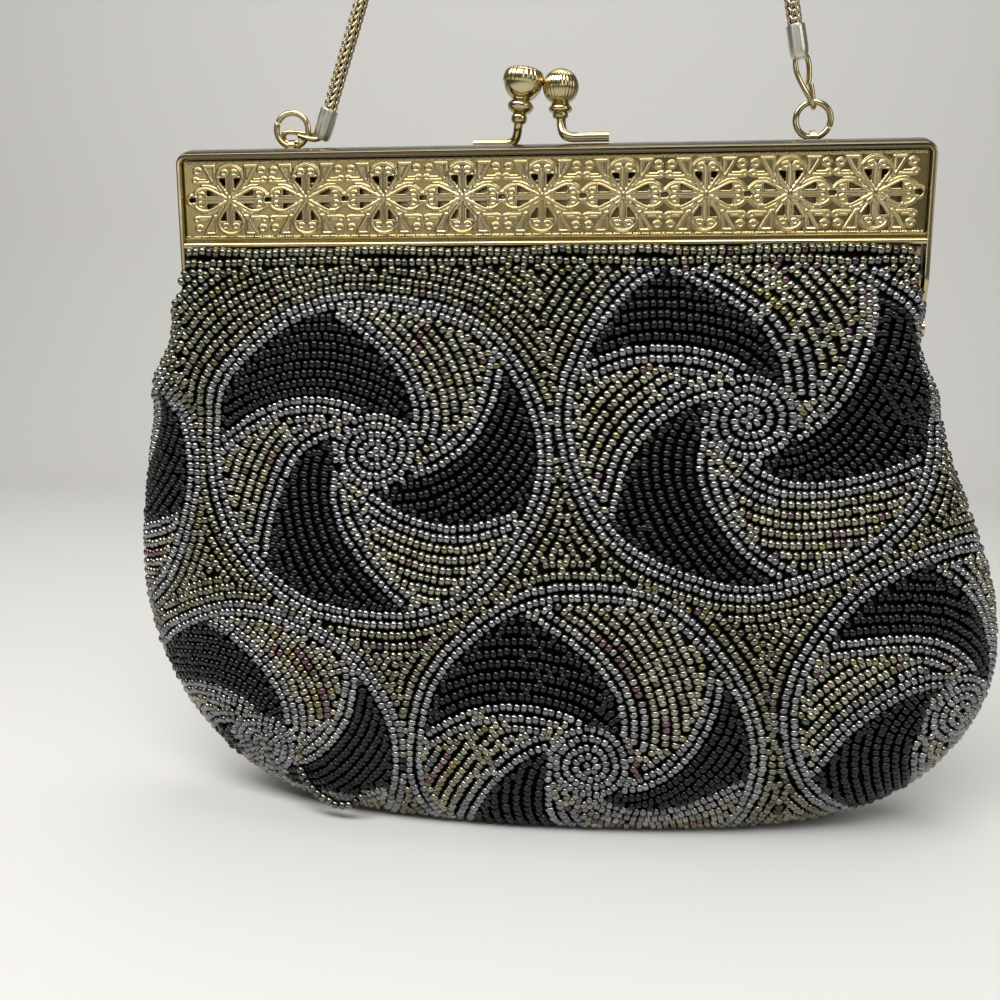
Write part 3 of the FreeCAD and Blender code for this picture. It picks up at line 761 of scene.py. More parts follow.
def bead_piece(name, rows, side, sizes, palette, material, random):
    """Barrel beads, all in one mesh: rings of points along each bead's thread and a face on both ends."""
    keys = ("centre", "along", "normal")
    centre, along, normal = (np.concatenate([row[key] for row in rows]) for key in keys)
    count = len(centre)
    across = unit(np.cross(normal, along))
    along = unit(along + BEAD_TURN * random.standard_normal((count, 1)) * across)
    across = unit(np.cross(normal, along))
    lift = np.cross(along, across)
    centre = centre + random.normal(0.0, BEAD_SHIFT, (count, 3))
    length = sizes.bead_length / MM / 2 * random.uniform(*BEAD_LENGTHS, (count, 1, 1))
    radius = sizes.bead_width / MM / 2 * random.uniform(*BEAD_WIDTHS, (count, 1, 1))
    reach, girth = (np.repeat(values, BEAD_SIDES)[None, :, None] for values in zip(*BARREL))
    turn = np.tile(np.arange(BEAD_SIDES) * 2 * math.pi / BEAD_SIDES, len(BARREL))[None, :, None]
    points = (centre[:, None, :] + length * reach * along[:, None, :]
              + radius * girth * (np.cos(turn) * lift[:, None, :] + np.sin(turn) * across[:, None, :]))
    points = points.reshape(-1, 3)
    per_bead = len(BARREL) * BEAD_SIDES
    offset = np.arange(count)[:, None, None] * per_bead
    quads = (grid_faces(len(BARREL), BEAD_SIDES, wrap=True)[None] + offset).reshape(-1, 4)
    ends = np.stack([np.arange(BEAD_SIDES)[::-1], np.arange(BEAD_SIDES) + per_bead - BEAD_SIDES])
    ends = (ends[None] + offset).reshape(-1, BEAD_SIDES)
    shape = points, outward(points, [quads, ends])
    piece = new_piece(name, facing(shape, side), material)
    tint = np.repeat(bead_tints(rows, palette, random), per_bead, axis=0)
    layer = piece.data.color_attributes.new("bead_tint", "FLOAT_COLOR", "POINT")
    layer.data.foreach_set("color", np.hstack([tint, np.ones((len(tint), 1))]).astype(np.float32).ravel())
    return piece


# Filigree

# Side margin of the plate in the frame, its front and back behind the frame's face, the relief's height that
# counts as raised, and the grid's step
PLATE_MARGIN = 1.4
PLATE_FRONT = 0.95
PLATE_BACK = 1.35
RAISED = 0.3
STAMP_STEP = 0.17


def ridge(distance, width):
    """Soft ridge: a bell over a distance, 1 on the line and 0 past 1.7 widths."""
    return smooth(1 - np.abs(distance) / (1.7 * width))


def drop_distance(along, off, length, small, large):
    """Signed distance to a drop: a small circle, a large one at a length from it, and their tangents."""
    slope = (small - large) / length
    fall = math.sqrt(1 - slope ** 2)
    place = fall * along - slope * off
    straight = fall * off + slope * along - small
    small_end, large_end = np.hypot(off, along) - small, np.hypot(off, along - length) - large
    return np.where(place < 0, small_end, np.where(place > fall * length, large_end, straight))


def quatrefoil(x, z, half):
    """Relief height and signed distance to the pierced holes of one motif, a little wider than it is high.

    It has four petals with a double vein, two windows and two rings, a leaf beside each upright petal, a bar
    with a ring beside each level one, a rosette in each corner and a holed ring between neighbours. The lines
    are given as distance, half width, height and the places where they run.
    """
    beyond = np.hypot(np.abs(x) - half, z)
    x, z = np.abs(x) / 1.16, np.abs(z)
    a, c = np.maximum(x, z), np.minimum(x, z)
    petal = drop_distance(a - 0.3, c, 4.25, 0.1, 2.25)
    diagonal, out = (a - c) / math.sqrt(2), (a + c) / math.sqrt(2)
    slant = 0.892 * (x - 3.05) - 0.452 * (z - 3.4)
    leaf = np.maximum.reduce([2.8 - x, slant, z - 6.7])
    rosette = np.hypot(x - 5.8, z - 5.7)
    height = np.maximum(0.14 * smooth(-petal / 0.8), 0.16 * smooth(-leaf / 0.5))
    lines = (
        (petal, 0.24, 0.44, a > 0),
        (petal - 0.58, 0.18, 0.30, (a > 1.4) & (a < 5.2)),
        (c - 0.26, 0.14, 0.38, (a > 0.5) & (a < 5.2)),
        (c - 0.64, 0.13, 0.32, (a > 1.8) & (a < 4.3)),
        (a - 4.4, 0.14, 0.30, (petal < -0.1) & (c > 0.26)),
        (np.hypot(a - 5.3, c - 0.95) - 0.5, 0.18, 0.40, a > 0),
        (diagonal - 0.2, 0.13, 0.36, out < 3.6),
        (leaf, 0.18, 0.38, z > 3.0),
        (z - 3.45, 0.17, 0.34, (x > 3.6) & (x < 6.1)),
        (z - 3.95, 0.14, 0.24, (x > 4.2) & (x < 5.9)),
        (np.hypot(x - 6.2, z - 3.9) - 0.42, 0.16, 0.34, a > 0),
        (rosette - 0.55, 0.18, 0.36, a > 0),
        (rosette, 0.24, 0.22, a > 0),
        (beyond - 0.95, 0.22, 0.42, a > 0),
        (z - 7.45, 0.2, 0.24, np.cos(13.0 * x) > -0.3),
        (z - 7.95, 0.17, 0.26, a > 0),
    )
    for distance, width, rise, where in lines:
        height = np.maximum(height, rise * ridge(distance, width) * where)
    window = np.maximum.reduce([petal + 0.34, 0.76 - c, 1.9 - a, a - 4.26])
    return height, np.minimum(window, beyond - 0.6)


def filigree_shape(pitch):
    """Stamped plate: a grid in x and z, pushed out by the relief, with the pierced quads left out and a short
    wall behind every free edge. Gives the shape and how deep each point lies in a hollow."""
    low, high = PLATE_LOW[2] + 0.1, PLATE_HIGH[2] - 0.3
    x = np.arange(-(HALF_FRAME - PLATE_MARGIN), HALF_FRAME - PLATE_MARGIN, STAMP_STEP)
    z = np.linspace(low, high, int((high - low) / STAMP_STEP))
    x, z = np.meshgrid(x, z)
    motif = np.clip(np.round(x / pitch), -4, 4)
    height, hole = quatrefoil(x - pitch * motif, z - (PLATE_LOW[2] + PLATE_HIGH[2]) / 2, pitch / 2)
    front = np.stack([MID_X + x, -FACE_Y + PLATE_FRONT - height, z], axis=-1).reshape(-1, 3)
    back = front.copy()
    back[:, 1] = -FACE_Y + PLATE_BACK
    quads = grid_faces(*x.shape)
    quads = quads[hole.ravel()[quads].mean(axis=1) > 0]
    edges = np.concatenate([quads[:, [k, (k + 1) % 4]] for k in range(4)])
    ends = np.sort(edges, axis=1)
    first, count = np.unique(ends[:, 0] * len(front) + ends[:, 1], return_index=True, return_counts=True)[1:]
    free = edges[first[count == 1]]
    walls = np.stack([free[:, 1], free[:, 0], free[:, 0] + len(front), free[:, 1] + len(front)], axis=-1)
    points = np.concatenate([front, back])
    darker_share = np.tile(1 - smooth(height.ravel() / RAISED), 2)
    used = np.unique(np.concatenate([quads.ravel(), walls.ravel()]))
    number = np.zeros(len(points), int)
    number[used] = np.arange(len(used))
    return (points[used], [number[quads], number[walls]]), darker_share[used]


# Frame halves


def rim_path(side):
    """Path of the rim up one arm, over the top and down the other: x, z, and the direction inwards in both."""
    arm = np.linspace(HINGE_Z, FACE_TOP - CORNER, 40)
    bend = np.radians(np.linspace(0.0, 90.0, 12)[1:-1])
    top_x = half_width(FACE_TOP) - CORNER
    left = np.stack([-half_width(arm), arm, 1 + 0 * arm, 0 * arm], axis=-1)
    corner = np.stack([-top_x - CORNER * np.cos(bend), FACE_TOP - CORNER + CORNER * np.sin(bend),
                       np.cos(bend), -np.sin(bend)], axis=-1)
    level = np.linspace(-top_x, top_x, 40)
    top = np.stack([level, FACE_TOP + 0 * level, 0 * level, 0 * level - 1], axis=-1)
    right = np.concatenate([left, corner])[::-1] * [-1.0, 1.0, -1.0, 1.0]
    path = np.concatenate([left, corner, top, right])
    if side == BACK_SIDE:
        path[:, 0] += BACK_STEP * path[:, 2] * smooth((HINGE_Z + STEP_HEIGHT - path[:, 1]) / STEP_FADE)
    return path


def rim_shape(side):
    """Rim: a section of wall, lip and cove carried along the path, narrowed down the arms to the ears.

    The section's points are (inwards, back from the face). Where the path runs level, the domed top's rise,
    sqrt(R^2 - y^2) - (R - crown), lifts them.
    """
    lip = np.array([(0.0, 0.45), (0.03, 0.2), (0.1, 0.06), (0.22, 0.0), (0.82, 0.0), (0.94, 0.06), (1.0, 0.2)])
    cove = np.array([(1.04, 0.7), (1.1, 1.1), (1.25, 1.35), (1.65, 1.4), (1.65, 1.7), (SHEET, 1.7)])
    wall = np.array([(0.0, -0.15), (0.0, -1.6), (0.0, -3.0), (0.0, -4.4)])
    face = np.concatenate([lip, cove]) + [0.0, -FACE_Y]
    profile = np.concatenate([wall, face, wall[2::-2] + [SHEET, 0.0]])
    inward, y = profile[None, :, 0], profile[None, :, 1]
    path = rim_path(side)
    depth = EAR + (FACE_Y - EAR) * np.clip((path[:, 1:2] - HINGE_Z) / ARM_FLARE, 0.0, 1.0)
    rise = np.sqrt(CROWN_RADIUS ** 2 - y ** 2) - (CROWN_RADIUS - CROWN)
    loops = np.stack([MID_X + path[:, 0:1] + inward * path[:, 2:3], y * depth / FACE_Y,
                      path[:, 1:2] + (inward - rise) * path[:, 3:4]], axis=-1)
    return skin(loops)


def rail_shape():
    """Moulded rail under the plate: a round bead, a groove and a small lip over it, drawn straight across.

    The section's points are (up from the rail's bottom, back from the face).
    """
    turn = np.radians(np.linspace(-90.0, 90.0, 9))
    bead = np.stack([0.7 + 0.7 * np.sin(turn), 0.62 - 0.62 * np.cos(turn)], axis=-1)
    lip = [(1.5, 0.75), (1.9, 0.55), (2.05, 0.38), (2.25, 0.36), (RAIL, 0.55), (RAIL, 1.5), (0.3, 1.5)]
    up, back = (np.concatenate([bead, lip]) + [RAIL_BOTTOM, -FACE_Y]).T
    ends = np.array([-1.0, 1.0])[:, None] * (half_width(RAIL_BOTTOM) - 0.9)
    return skin(np.stack([MID_X + ends + 0 * up, back + 0 * ends, up + 0 * ends], axis=-1))


def frame_shape(side):
    """One half of the frame: its rim, its rail and a round ear at each hinge."""
    out = half_width(HINGE_Z) - (BACK_STEP if side == BACK_SIDE else 0.0)
    disc = [(EAR - 0.15, -SHEET), (EAR, -SHEET + 0.12), (EAR, -0.12), (EAR - 0.15, 0.0)]
    ears = [turned(disc, 40, (MID_X + hand * out, 0.0, HINGE_Z), axis=(hand, 0.0, 0.0)) for hand in (-1, 1)]
    return facing(joined([rim_shape(side), rail_shape()] + ears), side)


# Clasp


def front_knob(centre):
    """Round knob with fine ribs, on a flanged collar and a rod that bends to the right along the frame."""
    turn = np.radians(np.linspace(88.0, -61.0, 40))
    ball = np.stack([3.5 * np.cos(turn), 3.5 * np.sin(turn)], axis=-1)
    ring = np.radians(np.linspace(80.0, -80.0, 9))
    groove = [(1.75, -3.25), (1.95, -3.4), (1.8, -3.55)]
    flange = np.stack([1.75 + 0.62 * np.cos(ring), -4.25 + 0.66 * np.sin(ring)], axis=-1)
    collar = [(1.5, -5.0), (1.58, -5.2), (1.58, -5.7), (1.4, -6.0), (1.0, -6.1)]
    profile = np.concatenate([ball, groove, flange, collar])

    def ribs(angle, height):
        return 1 + 0.022 * np.cos(30 * angle) * smooth((3.1 - np.abs(height)) / 0.6)

    line = curved([(0.1, 0.0, -5.8), (0.2, -0.3, -6.6), (0.35, -1.1, -7.9), (0.9, -1.9, -9.3),
                   (2.3, -2.2, -9.95), (4.0, -2.2, -10.0), (6.5, -2.2, -10.0), (9.8, -2.2, -10.0)], 60)
    return [turned(profile, 136, centre, ribs=ribs), tube(line + centre, 0.95, 20)]


def back_knob(centre):
    """Flat-topped knob with a ribbed band, a round bead under it and a rod that bends to the left."""
    ball = [(0.4, 3.25), (1.6, 3.22), (2.6, 3.05), (3.2, 2.7), (3.6, 2.1), (3.85, 1.3), (3.9, 0.5),
            (3.75, -0.5), (3.4, -1.4), (2.8, -2.2), (2.1, -2.8), (1.7, -3.1)]
    bead = [(2.1, -3.35), (2.5, -3.8), (2.6, -4.3), (2.4, -4.9), (1.9, -5.4), (1.35, -5.7)]
    collar = [(1.3, -5.85), (1.5, -6.05), (1.6, -6.5), (1.55, -7.1), (1.3, -7.5), (0.95, -7.7)]
    profile = curved(ball + bead + collar, 110)

    def ribs(angle, height):
        band = smooth((height - 0.1) / 0.3) * smooth((2.9 - height) / 0.5)
        return 1 + 0.06 * np.abs(np.cos(12 * angle)) * band

    line = curved([(-0.9, 0.0, -7.4), (-1.05, 0.3, -8.3), (-1.35, 1.2, -9.6), (-2.0, 1.9, -10.6),
                   (-3.2, 2.2, -11.05), (-4.6, 2.2, -11.1), (-7.0, 2.2, -11.1), (-10.3, 2.2, -11.1)], 60)
    return [turned(profile, 130, centre, axis=(0.12, 0.0, 1.0), ribs=ribs), tube(line + centre, 0.9, 20)]


# Handle

# Rings and hooks: middle radius of a ring, radii of the wires, and the length that the hook's way is drawn for
RING_RADIUS = 3.38
RING_WIRE = 0.62
HOOK_WIRE = 0.54
HOOK_LENGTH = 11.2
# Links of the chain: distance between rows, columns round the chain and radius of the wire
LINK_PITCH = 1.5
LINK_COLUMNS = 6
LINK_WIRE = 0.34


def ring_shape(centre, slit):
    """Jump ring: round wire on a circle that stops short of itself at the slit."""
    turn = np.radians(slit + np.linspace(3.0, 357.0, 90))
    circle = RING_RADIUS * np.stack([np.cos(turn), 0 * turn, np.sin(turn)], axis=-1)
    return tube(circle + centre, RING_WIRE, 18)


def hook_shape(tip, along, across, length):
    """Hook bent of one wire: from a cut tail round the ring, up one side, through the cap's eye and back.

    The way's points are (along, across, out) for a hook of the usual length, and stretch along with its length.
    """
    way = [(4.7, 0.75, 0.75), (2.6, 0.62, 0.95), (1.1, 0.3, 1.0), (0.25, 0.05, 0.55), (0.25, -0.05, -0.45),
           (1.1, -0.25, -0.95), (2.7, -0.6, -0.85), (5.0, -1.1, -0.4), (7.5, -1.4, 0.0), (9.4, -1.2, 0.0),
           (10.6, -0.6, 0.0), (10.9, 0.05, 0.0), (10.6, 0.65, 0.0), (9.4, 1.2, 0.0), (7.4, 1.0, -0.1),
           (5.6, 0.45, -0.25), (4.6, 0.05, -0.3)]
    axes = np.stack([along, across, np.cross(along, across)])
    return tube(tip + curved(way, 150) * [length / HOOK_LENGTH, 1.0, 1.0] @ axes, HOOK_WIRE, 14)


def cap_shape(nose, direction):
    """End cap: a faceted barrel with a narrowed nose and a rolled lip round the chain."""
    profile = [(0.5, 0.45), (1.0, 0.2), (1.35, 0.1), (1.6, 0.45), (1.8, 1.2), (1.86, 2.0), (1.88, 4.2),
               (1.84, 5.6), (1.86, 6.1), (1.78, 6.36), (1.62, 6.4), (1.5, 6.2), (1.45, 5.4), (0.6, 5.2)]

    def ribs(angle, height):
        barrel = smooth((height - 0.6) / 0.5) * smooth((6.2 - height) / 0.5)
        return 1 - 0.09 * np.abs(np.sin(2.5 * angle)) ** 6 * barrel

    return turned(profile, 80, nose, axis=direction, ribs=ribs)


def knit_shape(line, width):
    """Knitted chain: closed oval links in columns round a line, each column half a link behind its neighbour.

    A link's lower end lies out and its upper end in. Its wire has few sides, because there are hundreds.
    """
    count = int(run_along(line)[-1] / LINK_PITCH)
    path = resampled(line, 4 * count + 1)
    along, across, lift = carried_frames(path)
    row, column = np.meshgrid(np.arange(count - 1), np.arange(LINK_COLUMNS), indexing="ij")
    station = (4 * row + 2 + 2 * (column % 2)).ravel()
    angle = (column * 2 * math.pi / LINK_COLUMNS).ravel()[:, None]
    radial = np.cos(angle) * across[station] + np.sin(angle) * lift[station]
    side = np.cos(angle) * lift[station] - np.sin(angle) * across[station]
    axis = along[station]
    around, sides = 8, 5
    half_long, half_wide, tilt = 0.72 * LINK_PITCH, 0.50, 0.26
    turn = np.arange(around) * 2 * math.pi / around
    girth = np.arange(sides) * 2 * math.pi / sides
    up, sideways = np.sin(turn)[None, :, None], np.cos(turn)[None, :, None]
    out = width / 2 - LINK_WIRE - tilt - tilt * up
    centre = (path[station][:, None, :] + half_long * up * axis[:, None, :]
              + half_wide * sideways * side[:, None, :] + out * radial[:, None, :])
    away = up * axis[:, None, :] + sideways * side[:, None, :]
    points = (centre[:, :, None, :] + LINK_WIRE * np.cos(girth)[:, None] * away[:, :, None, :]
              + LINK_WIRE * np.sin(girth)[:, None] * radial[:, None, None, :]).reshape(-1, 3)
    index = np.arange(around * sides).reshape(around, sides)
    beside = np.roll(index, -1, axis=1)
    quads = np.stack([index, beside, np.roll(beside, -1, axis=0), np.roll(index, -1, axis=0)], axis=-1)
    quads = quads.reshape(1, -1, 4) + around * sides * np.arange(len(station))[:, None, None]
    return points, outward(points, [quads.reshape(-1, 4)])


# Properties


class PurseSizes(bpy.types.PropertyGroup):
    """Sizes that a user would change."""

    bead_length: bpy.props.FloatProperty(
        name="Bead length", description="Length of a seed bead along its thread", default=1.36 * MM,
        unit="LENGTH", precision=5)
    bead_width: bpy.props.FloatProperty(
        name="Bead width", description="Width of a seed bead across its thread", default=2.08 * MM,
        unit="LENGTH", precision=5)
    row_pitch: bpy.props.FloatProperty(
        name="Row pitch", description="Distance between two rows of beads", default=2.0 * MM,
        unit="LENGTH", precision=5)
    circle_radius: bpy.props.FloatProperty(
        name="Circle radius", description="Radius of a pinwheel's outline", default=34.0 * MM, unit="LENGTH")
    hub_radius: bpy.props.FloatProperty(
        name="Hub radius", description="Radius of the silver spiral in a pinwheel", default=8.4 * MM,
        unit="LENGTH")
    motif_pitch: bpy.props.FloatProperty(
        name="Motif pitch", description="Distance between two stamped motifs", default=16.0 * MM,
        unit="LENGTH")


class PurseColours(bpy.types.PropertyGroup):
    """Colours as sRGB hex values."""

    gold: bpy.props.StringProperty(name="Gold", description="Bright gold plate", default="#C0B28C")
    gold_dull: bpy.props.StringProperty(name="Dull gold", description="Hazy gold plate", default="#AC9C70")
    # Darker colour given to the hollows of the stamped plate
    gold_hollows: bpy.props.StringProperty(name="Gold in hollows", description="Hollows of the stamping",
                                        default="#9C8C60")
    # Top edge of the rim: brown tarnish, darkened further as a painted dark reflection
    gold_tarnish_and_shade: bpy.props.StringProperty(name="Tarnish", description="Handled top edge", default="#665C48")
    steel: bpy.props.StringProperty(name="Steel", description="Bright links of the chain", default="#B8AC90")
    steel_dull: bpy.props.StringProperty(name="Dull steel", description="Yellowed links", default="#9E9070")
    cap: bpy.props.StringProperty(name="Cap", description="Bright end caps", default="#D2CEC2")
    cap_dull: bpy.props.StringProperty(name="Dull cap", description="Hazy end caps", default="#BDB7A8")
    # Inside of the chain: painted shade for the gaps between the links
    core: bpy.props.StringProperty(name="Core", description="Inside of the chain", default="#4A463C")
    shade_core_dull: bpy.props.StringProperty(name="Dull core", description="Inside, hazy", default="#3A372F")
    canvas: bpy.props.StringProperty(name="Canvas", description="Cloth under the beads", default="#060607")
    satin: bpy.props.StringProperty(name="Satin", description="Lining", default="#101012")
    stage: bpy.props.StringProperty(name="Stage", description="Floor and backdrop", default="#D2D0CC")


# Operators


class PURSE_OT_stage(bpy.types.Operator):
    """Pale sweep, soft lights and the camera"""

    bl_idname = "purse.stage"
    bl_label = "Stage"

    # Sweep: half width, front edges of the floor, start and radius of the curve, and top of the wall
    HALF_WIDTH = 1600.0
    FLOOR_FRONT = (-1400.0, -400.0)
    CURVE_START = 420.0
    CURVE_RADIUS = 180.0
    WALL_TOP = 1500.0
    # Lamps: name, place, width, depth and power in watts. All are aimed at one height over the middle.
    LAMPS = (("key", (-150, -380, 660), 1000, 300, 7.4), ("fill", (520, -380, 320), 300, 300, 0.7),
             ("top", (40, 110, 760), 560, 360, 2.2), ("card", (-300, -720, 205), 540, 130, 0.3))
    AIM_HEIGHT = 80.0
    WORLD_STRENGTH = 0.11
    # Camera as the photograph was taken: close, a little to the right and looking down
    FOCAL_LENGTH = 39.6
    SENSOR = 36.0
    CAMERA_PLACE = (14.67, -229.92, 107.37)
    CAMERA_TILT = 9.724
    CAMERA_TURN = 6.623

    def add_sweep(self, colour):
        """Floor that curves up into a wall: a line of points in y and z, carried across in x."""
        # Matt paper: an even pale ground with no highlight
        paper, tree = new_material("matt_paper_sweep")
        close_tree(tree, {"Base Color": linear(colour), "Roughness": 0.9})
        bend = np.radians(np.linspace(0, 90, 24))
        back = self.CURVE_START + self.CURVE_RADIUS * np.sin(bend)
        rise = self.CURVE_RADIUS * (1 - np.cos(bend))
        y = np.concatenate([self.FLOOR_FRONT, back, back[-1:]])[:, None]
        z = np.concatenate([[0.0, 0.0], rise, [self.WALL_TOP]])[:, None]
        x = np.array([[-self.HALF_WIDTH, self.HALF_WIDTH]])
        points = np.stack([x + 0 * y, y + 0 * x, z + 0 * x], axis=-1)
        sweep = new_piece("sweep", (points.reshape(-1, 3), [grid_faces(len(y), 2)]), paper)

    def add_lights(self, scene):
        """White world and the area lamps."""
        world = bpy.data.worlds.new("studio")
        world.use_nodes = True
        sky = world.node_tree.nodes["Background"].inputs
        sky["Color"].default_value = linear("#FFFFFF")
        sky["Strength"].default_value = self.WORLD_STRENGTH
        scene.world = world
        for name, place, wide, deep, power in self.LAMPS:
            light = bpy.data.lights.new(name, "AREA")
            light.shape = "RECTANGLE"
            light.size = wide * MM
            light.size_y = deep * MM
            light.energy = power
            lamp = bpy.data.objects.new(name, light)
            lamp.location = np.array(place) * MM
            aim = Vector((0, 0, self.AIM_HEIGHT * MM)) - lamp.location
            lamp.rotation_euler = aim.to_track_quat("-Z", "Y").to_euler()
            scene.collection.objects.link(lamp)

    def add_camera(self, scene):
        """Camera at the photograph's place."""
        lens = bpy.data.cameras.new("camera")
        lens.lens = self.FOCAL_LENGTH
        lens.sensor_width = self.SENSOR
        lens.clip_start = 0.01
        camera = bpy.data.objects.new("camera", lens)
        camera.location = [value * MM for value in self.CAMERA_PLACE]
        camera.rotation_euler = (math.radians(90 - self.CAMERA_TILT), 0.0, math.radians(self.CAMERA_TURN))
        scene.collection.objects.link(camera)
        scene.camera = camera

    def execute(self, context):
        scene = context.scene
        self.add_sweep(scene.purse_colours.stage)
        self.add_lights(scene)
        self.add_camera(scene)
        scene.view_settings.view_transform = "Standard"
        return {"FINISHED"}


class PURSE_OT_handle(bpy.types.Operator):
    """Knitted chain with its end caps, hooks and rings"""

    bl_idname = "purse.handle"
    bl_label = "Handle"

    # Control points of the chain in x and z, in the plane at ROUTE_Y
    ROUTE = ((-48.43, 147.16), (-18.8, 234.0), (-13.5, 249.5), (1.0, 258.3), (17.6, 256.9), (29.7, 245.8),
             (32.8, 229.9), (46.06, 161.1))
    ROUTE_Y = 3.0
    WIDTH = 3.0
    CORE_WIDTH = 1.76
    CAP_BELOW = 4.9
    RIGHT_LEAN = (-0.292, 0.0, 0.956)

    def route_line(self):
        """Points of a smooth NURBS spline on the route."""
        curve = bpy.data.curves.new("chain_route", "CURVE")
        curve.dimensions = "3D"
        curve.resolution_u = 48
        spline = curve.splines.new("NURBS")
        spline.points.add(len(self.ROUTE) - 1)
        for point, (x, z) in zip(spline.points, self.ROUTE):
            point.co = (x * MM, self.ROUTE_Y * MM, z * MM, 1.0)
        spline.order_u = 3
        spline.use_endpoint_u = True
        holder = bpy.data.objects.new("chain_route", curve)
        mesh = bpy.data.meshes.new_from_object(holder)
        line = np.zeros(len(mesh.vertices) * 3)
        mesh.vertices.foreach_get("co", line)
        bpy.data.objects.remove(holder)
        bpy.data.curves.remove(curve)
        bpy.data.meshes.remove(mesh)
        return line.reshape(-1, 3) / MM

    def hook_places(self):
        """Tip, directions along and across, and length of each hook: left one level, right one leaning."""
        wire = 0.5
        low, high = node_box("left_hook")
        tip = (low[0] + wire, self.ROUTE_Y, (low[2] + high[2]) / 2 - 0.6)
        left = tip, (1.0, 0.0, 0.0), (0.0, -0.85, -0.53), high[0] - low[0] - 2 * wire
        low, high = node_box("right_hook")
        lean = unit(np.array(self.RIGHT_LEAN))
        tip = (sum(node_box("right_ring"))[0] / 2, self.ROUTE_Y, low[2] + wire)
        right = tip, lean, (lean[2], 0.0, -lean[0]), (high[2] - low[2] - 2 * wire) / lean[2]
        return left, right

    def execute(self, context):
        colours = context.scene.purse_colours
        # Silvered steel wire, yellowed by handling: a small hard glint on every link
        steel = metal("silvered_steel", colours.steel, colours.steel_dull, 0.24)
        # Rolled steel with a satin grain: a broad soft highlight down each facet of a cap
        satin_steel = metal("rolled_satin_steel", colours.cap, colours.cap_dull, 0.36)
        # The same steel inside the knit, in a darker tone: painted shade that keeps the gaps between the links
        # dark
        shade = metal("chain_shadow_steel", colours.core, colours.shade_core_dull, 0.45)
        # Gold plate on bent wire: one thin clear highlight round each ring and hook
        gold = metal("ring_gold_plate", colours.gold, colours.gold_dull, 0.18)
        line = self.route_line()
        chain = new_piece("knit_chain", knit_shape(line, self.WIDTH), steel)
        dress(chain, "handle", "chain_metal", "handle_chain")
        # Dark tube inside the links: painted shade in the knit's gaps
        core = new_piece("knit_shade_core", tube(resampled(line, 240), self.CORE_WIDTH / 2, 12), shade)
        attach(core, "handle")
        # Side, end of the line and the point next to it, and the angle of the ring's slit
        ends = (("left", 0, 1, 155.0), ("right", -1, -2, -25.0))
        for (name, end, next_to, slit), hook_place in zip(ends, self.hook_places()):
            direction = unit(line[next_to] - line[end])
            nose = line[end] - self.CAP_BELOW * direction
            cap = new_piece(name + "_cap", cap_shape(nose, direction), satin_steel, sharp=40)
            dress(cap, "handle", "chain_metal", name + "_end_cap")
            hook = new_piece(name + "_hook_wire", hook_shape(*hook_place), gold)
            dress(hook, "handle", "chain_metal", name + "_hook")
            ring = new_piece(name + "_jump_ring", ring_shape(sum(node_box(name + "_ring")) / 2, slit), gold)
            dress(ring, "handle", "gold_plate", name + "_ring")
        return {"FINISHED"}


class PURSE_OT_frame(bpy.types.Operator):
    """Both halves of the frame with their stamped plates"""

    bl_idname = "purse.frame"
    bl_label = "Frame"

    # Tarnish on the handled top, darkened further as a painted dark reflection: how far below the face's top it
    # starts, and the height over which it sets in
    TARNISH_SHADE_BELOW = 1.3
    TARNISH_SHADE_FADE = 0.6

    def execute(self, context):
        colours = context.scene.purse_colours
        # Polished gold plate: clear reflections on lip and rail. The top edge is brown with tarnish where hands
        # rub it, and darker still as a painted dark reflection
        gold = metal("polished_gold_plate", colours.gold, colours.gold_dull, 0.21, darker_tone=colours.gold_tarnish_and_shade)
        # Stamped gold plate: raised lines catch the light, and the hollows stay deeper in colour
        stamped = metal("stamped_gold_plate", colours.gold, colours.gold_dull, 0.25, darker_tone=colours.gold_hollows)
        plate, darker_share = filigree_shape(context.scene.purse_sizes.motif_pitch / MM)
        for side, name in SIDES:
            shape = frame_shape(side)
            rim = new_piece(name + "_frame_rim", shape, gold, sharp=40)
            # The top edge takes the darker colour: tarnish and a painted dark reflection
            paint_darker_share(rim, smooth((shape[0][:, 2] - FACE_TOP + self.TARNISH_SHADE_BELOW) / self.TARNISH_SHADE_FADE))
            dress(rim, name + "_half", "gold_plate", name + "_frame")
            face = new_piece(name + "_stamped_plate", facing(plate, side), stamped)
            paint_darker_share(face, darker_share)
            dress(face, name + "_half", "filigree_plate", name + "_filigree")
        # Rolled gold strip with a satin face: one wide blurred sheen
        rolled = metal("rolled_satin_gold_strip", colours.gold, colours.gold_dull, 0.38)
        finishes = {gold: ("left_ring_lug", "right_ring_lug", "left_hinge_rivet", "right_hinge_rivet"),
                    rolled: ("front_binding_strip", "back_binding_strip")}
        for finish, names in finishes.items():
            for name in names:
                mesh = frame["nodes"][name].data
                mesh.materials.clear()
                mesh.materials.append(finish)
        return {"FINISHED"}


class PURSE_OT_clasp(bpy.types.Operator):
    """Two knobs that snap past each other"""

    bl_idname = "purse.clasp"
    bl_label = "Clasp"

    # Each knob's shape, and its middle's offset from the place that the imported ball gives
    KNOBS = ((front_knob, (0.55, 0.0, 0.3)), (back_knob, (0.05, 0.0, 0.95)))
    BELOW_TOP = 3.4

    def execute(self, context):
        colours = context.scene.purse_colours
        # Turned and burnished gold plate: small sharp highlights that the ribs cut into rows of glints
        gold = metal("turned_gold_plate", colours.gold, colours.gold_dull, 0.15)
        for (side, name), (knob, offset) in zip(SIDES, self.KNOBS):
            low, high = node_box(name + "_clasp_ball")
            centre = np.array([(low[0] + high[0]) / 2, 0.0, high[2] - self.BELOW_TOP]) + offset
            piece = new_piece(name + "_knob", joined(knob(centre)), gold, sharp=50)
            dress(piece, name + "_half", "gold_plate", name + "_clasp_ball", name + "_clasp_arm")
        return {"FINISHED"}


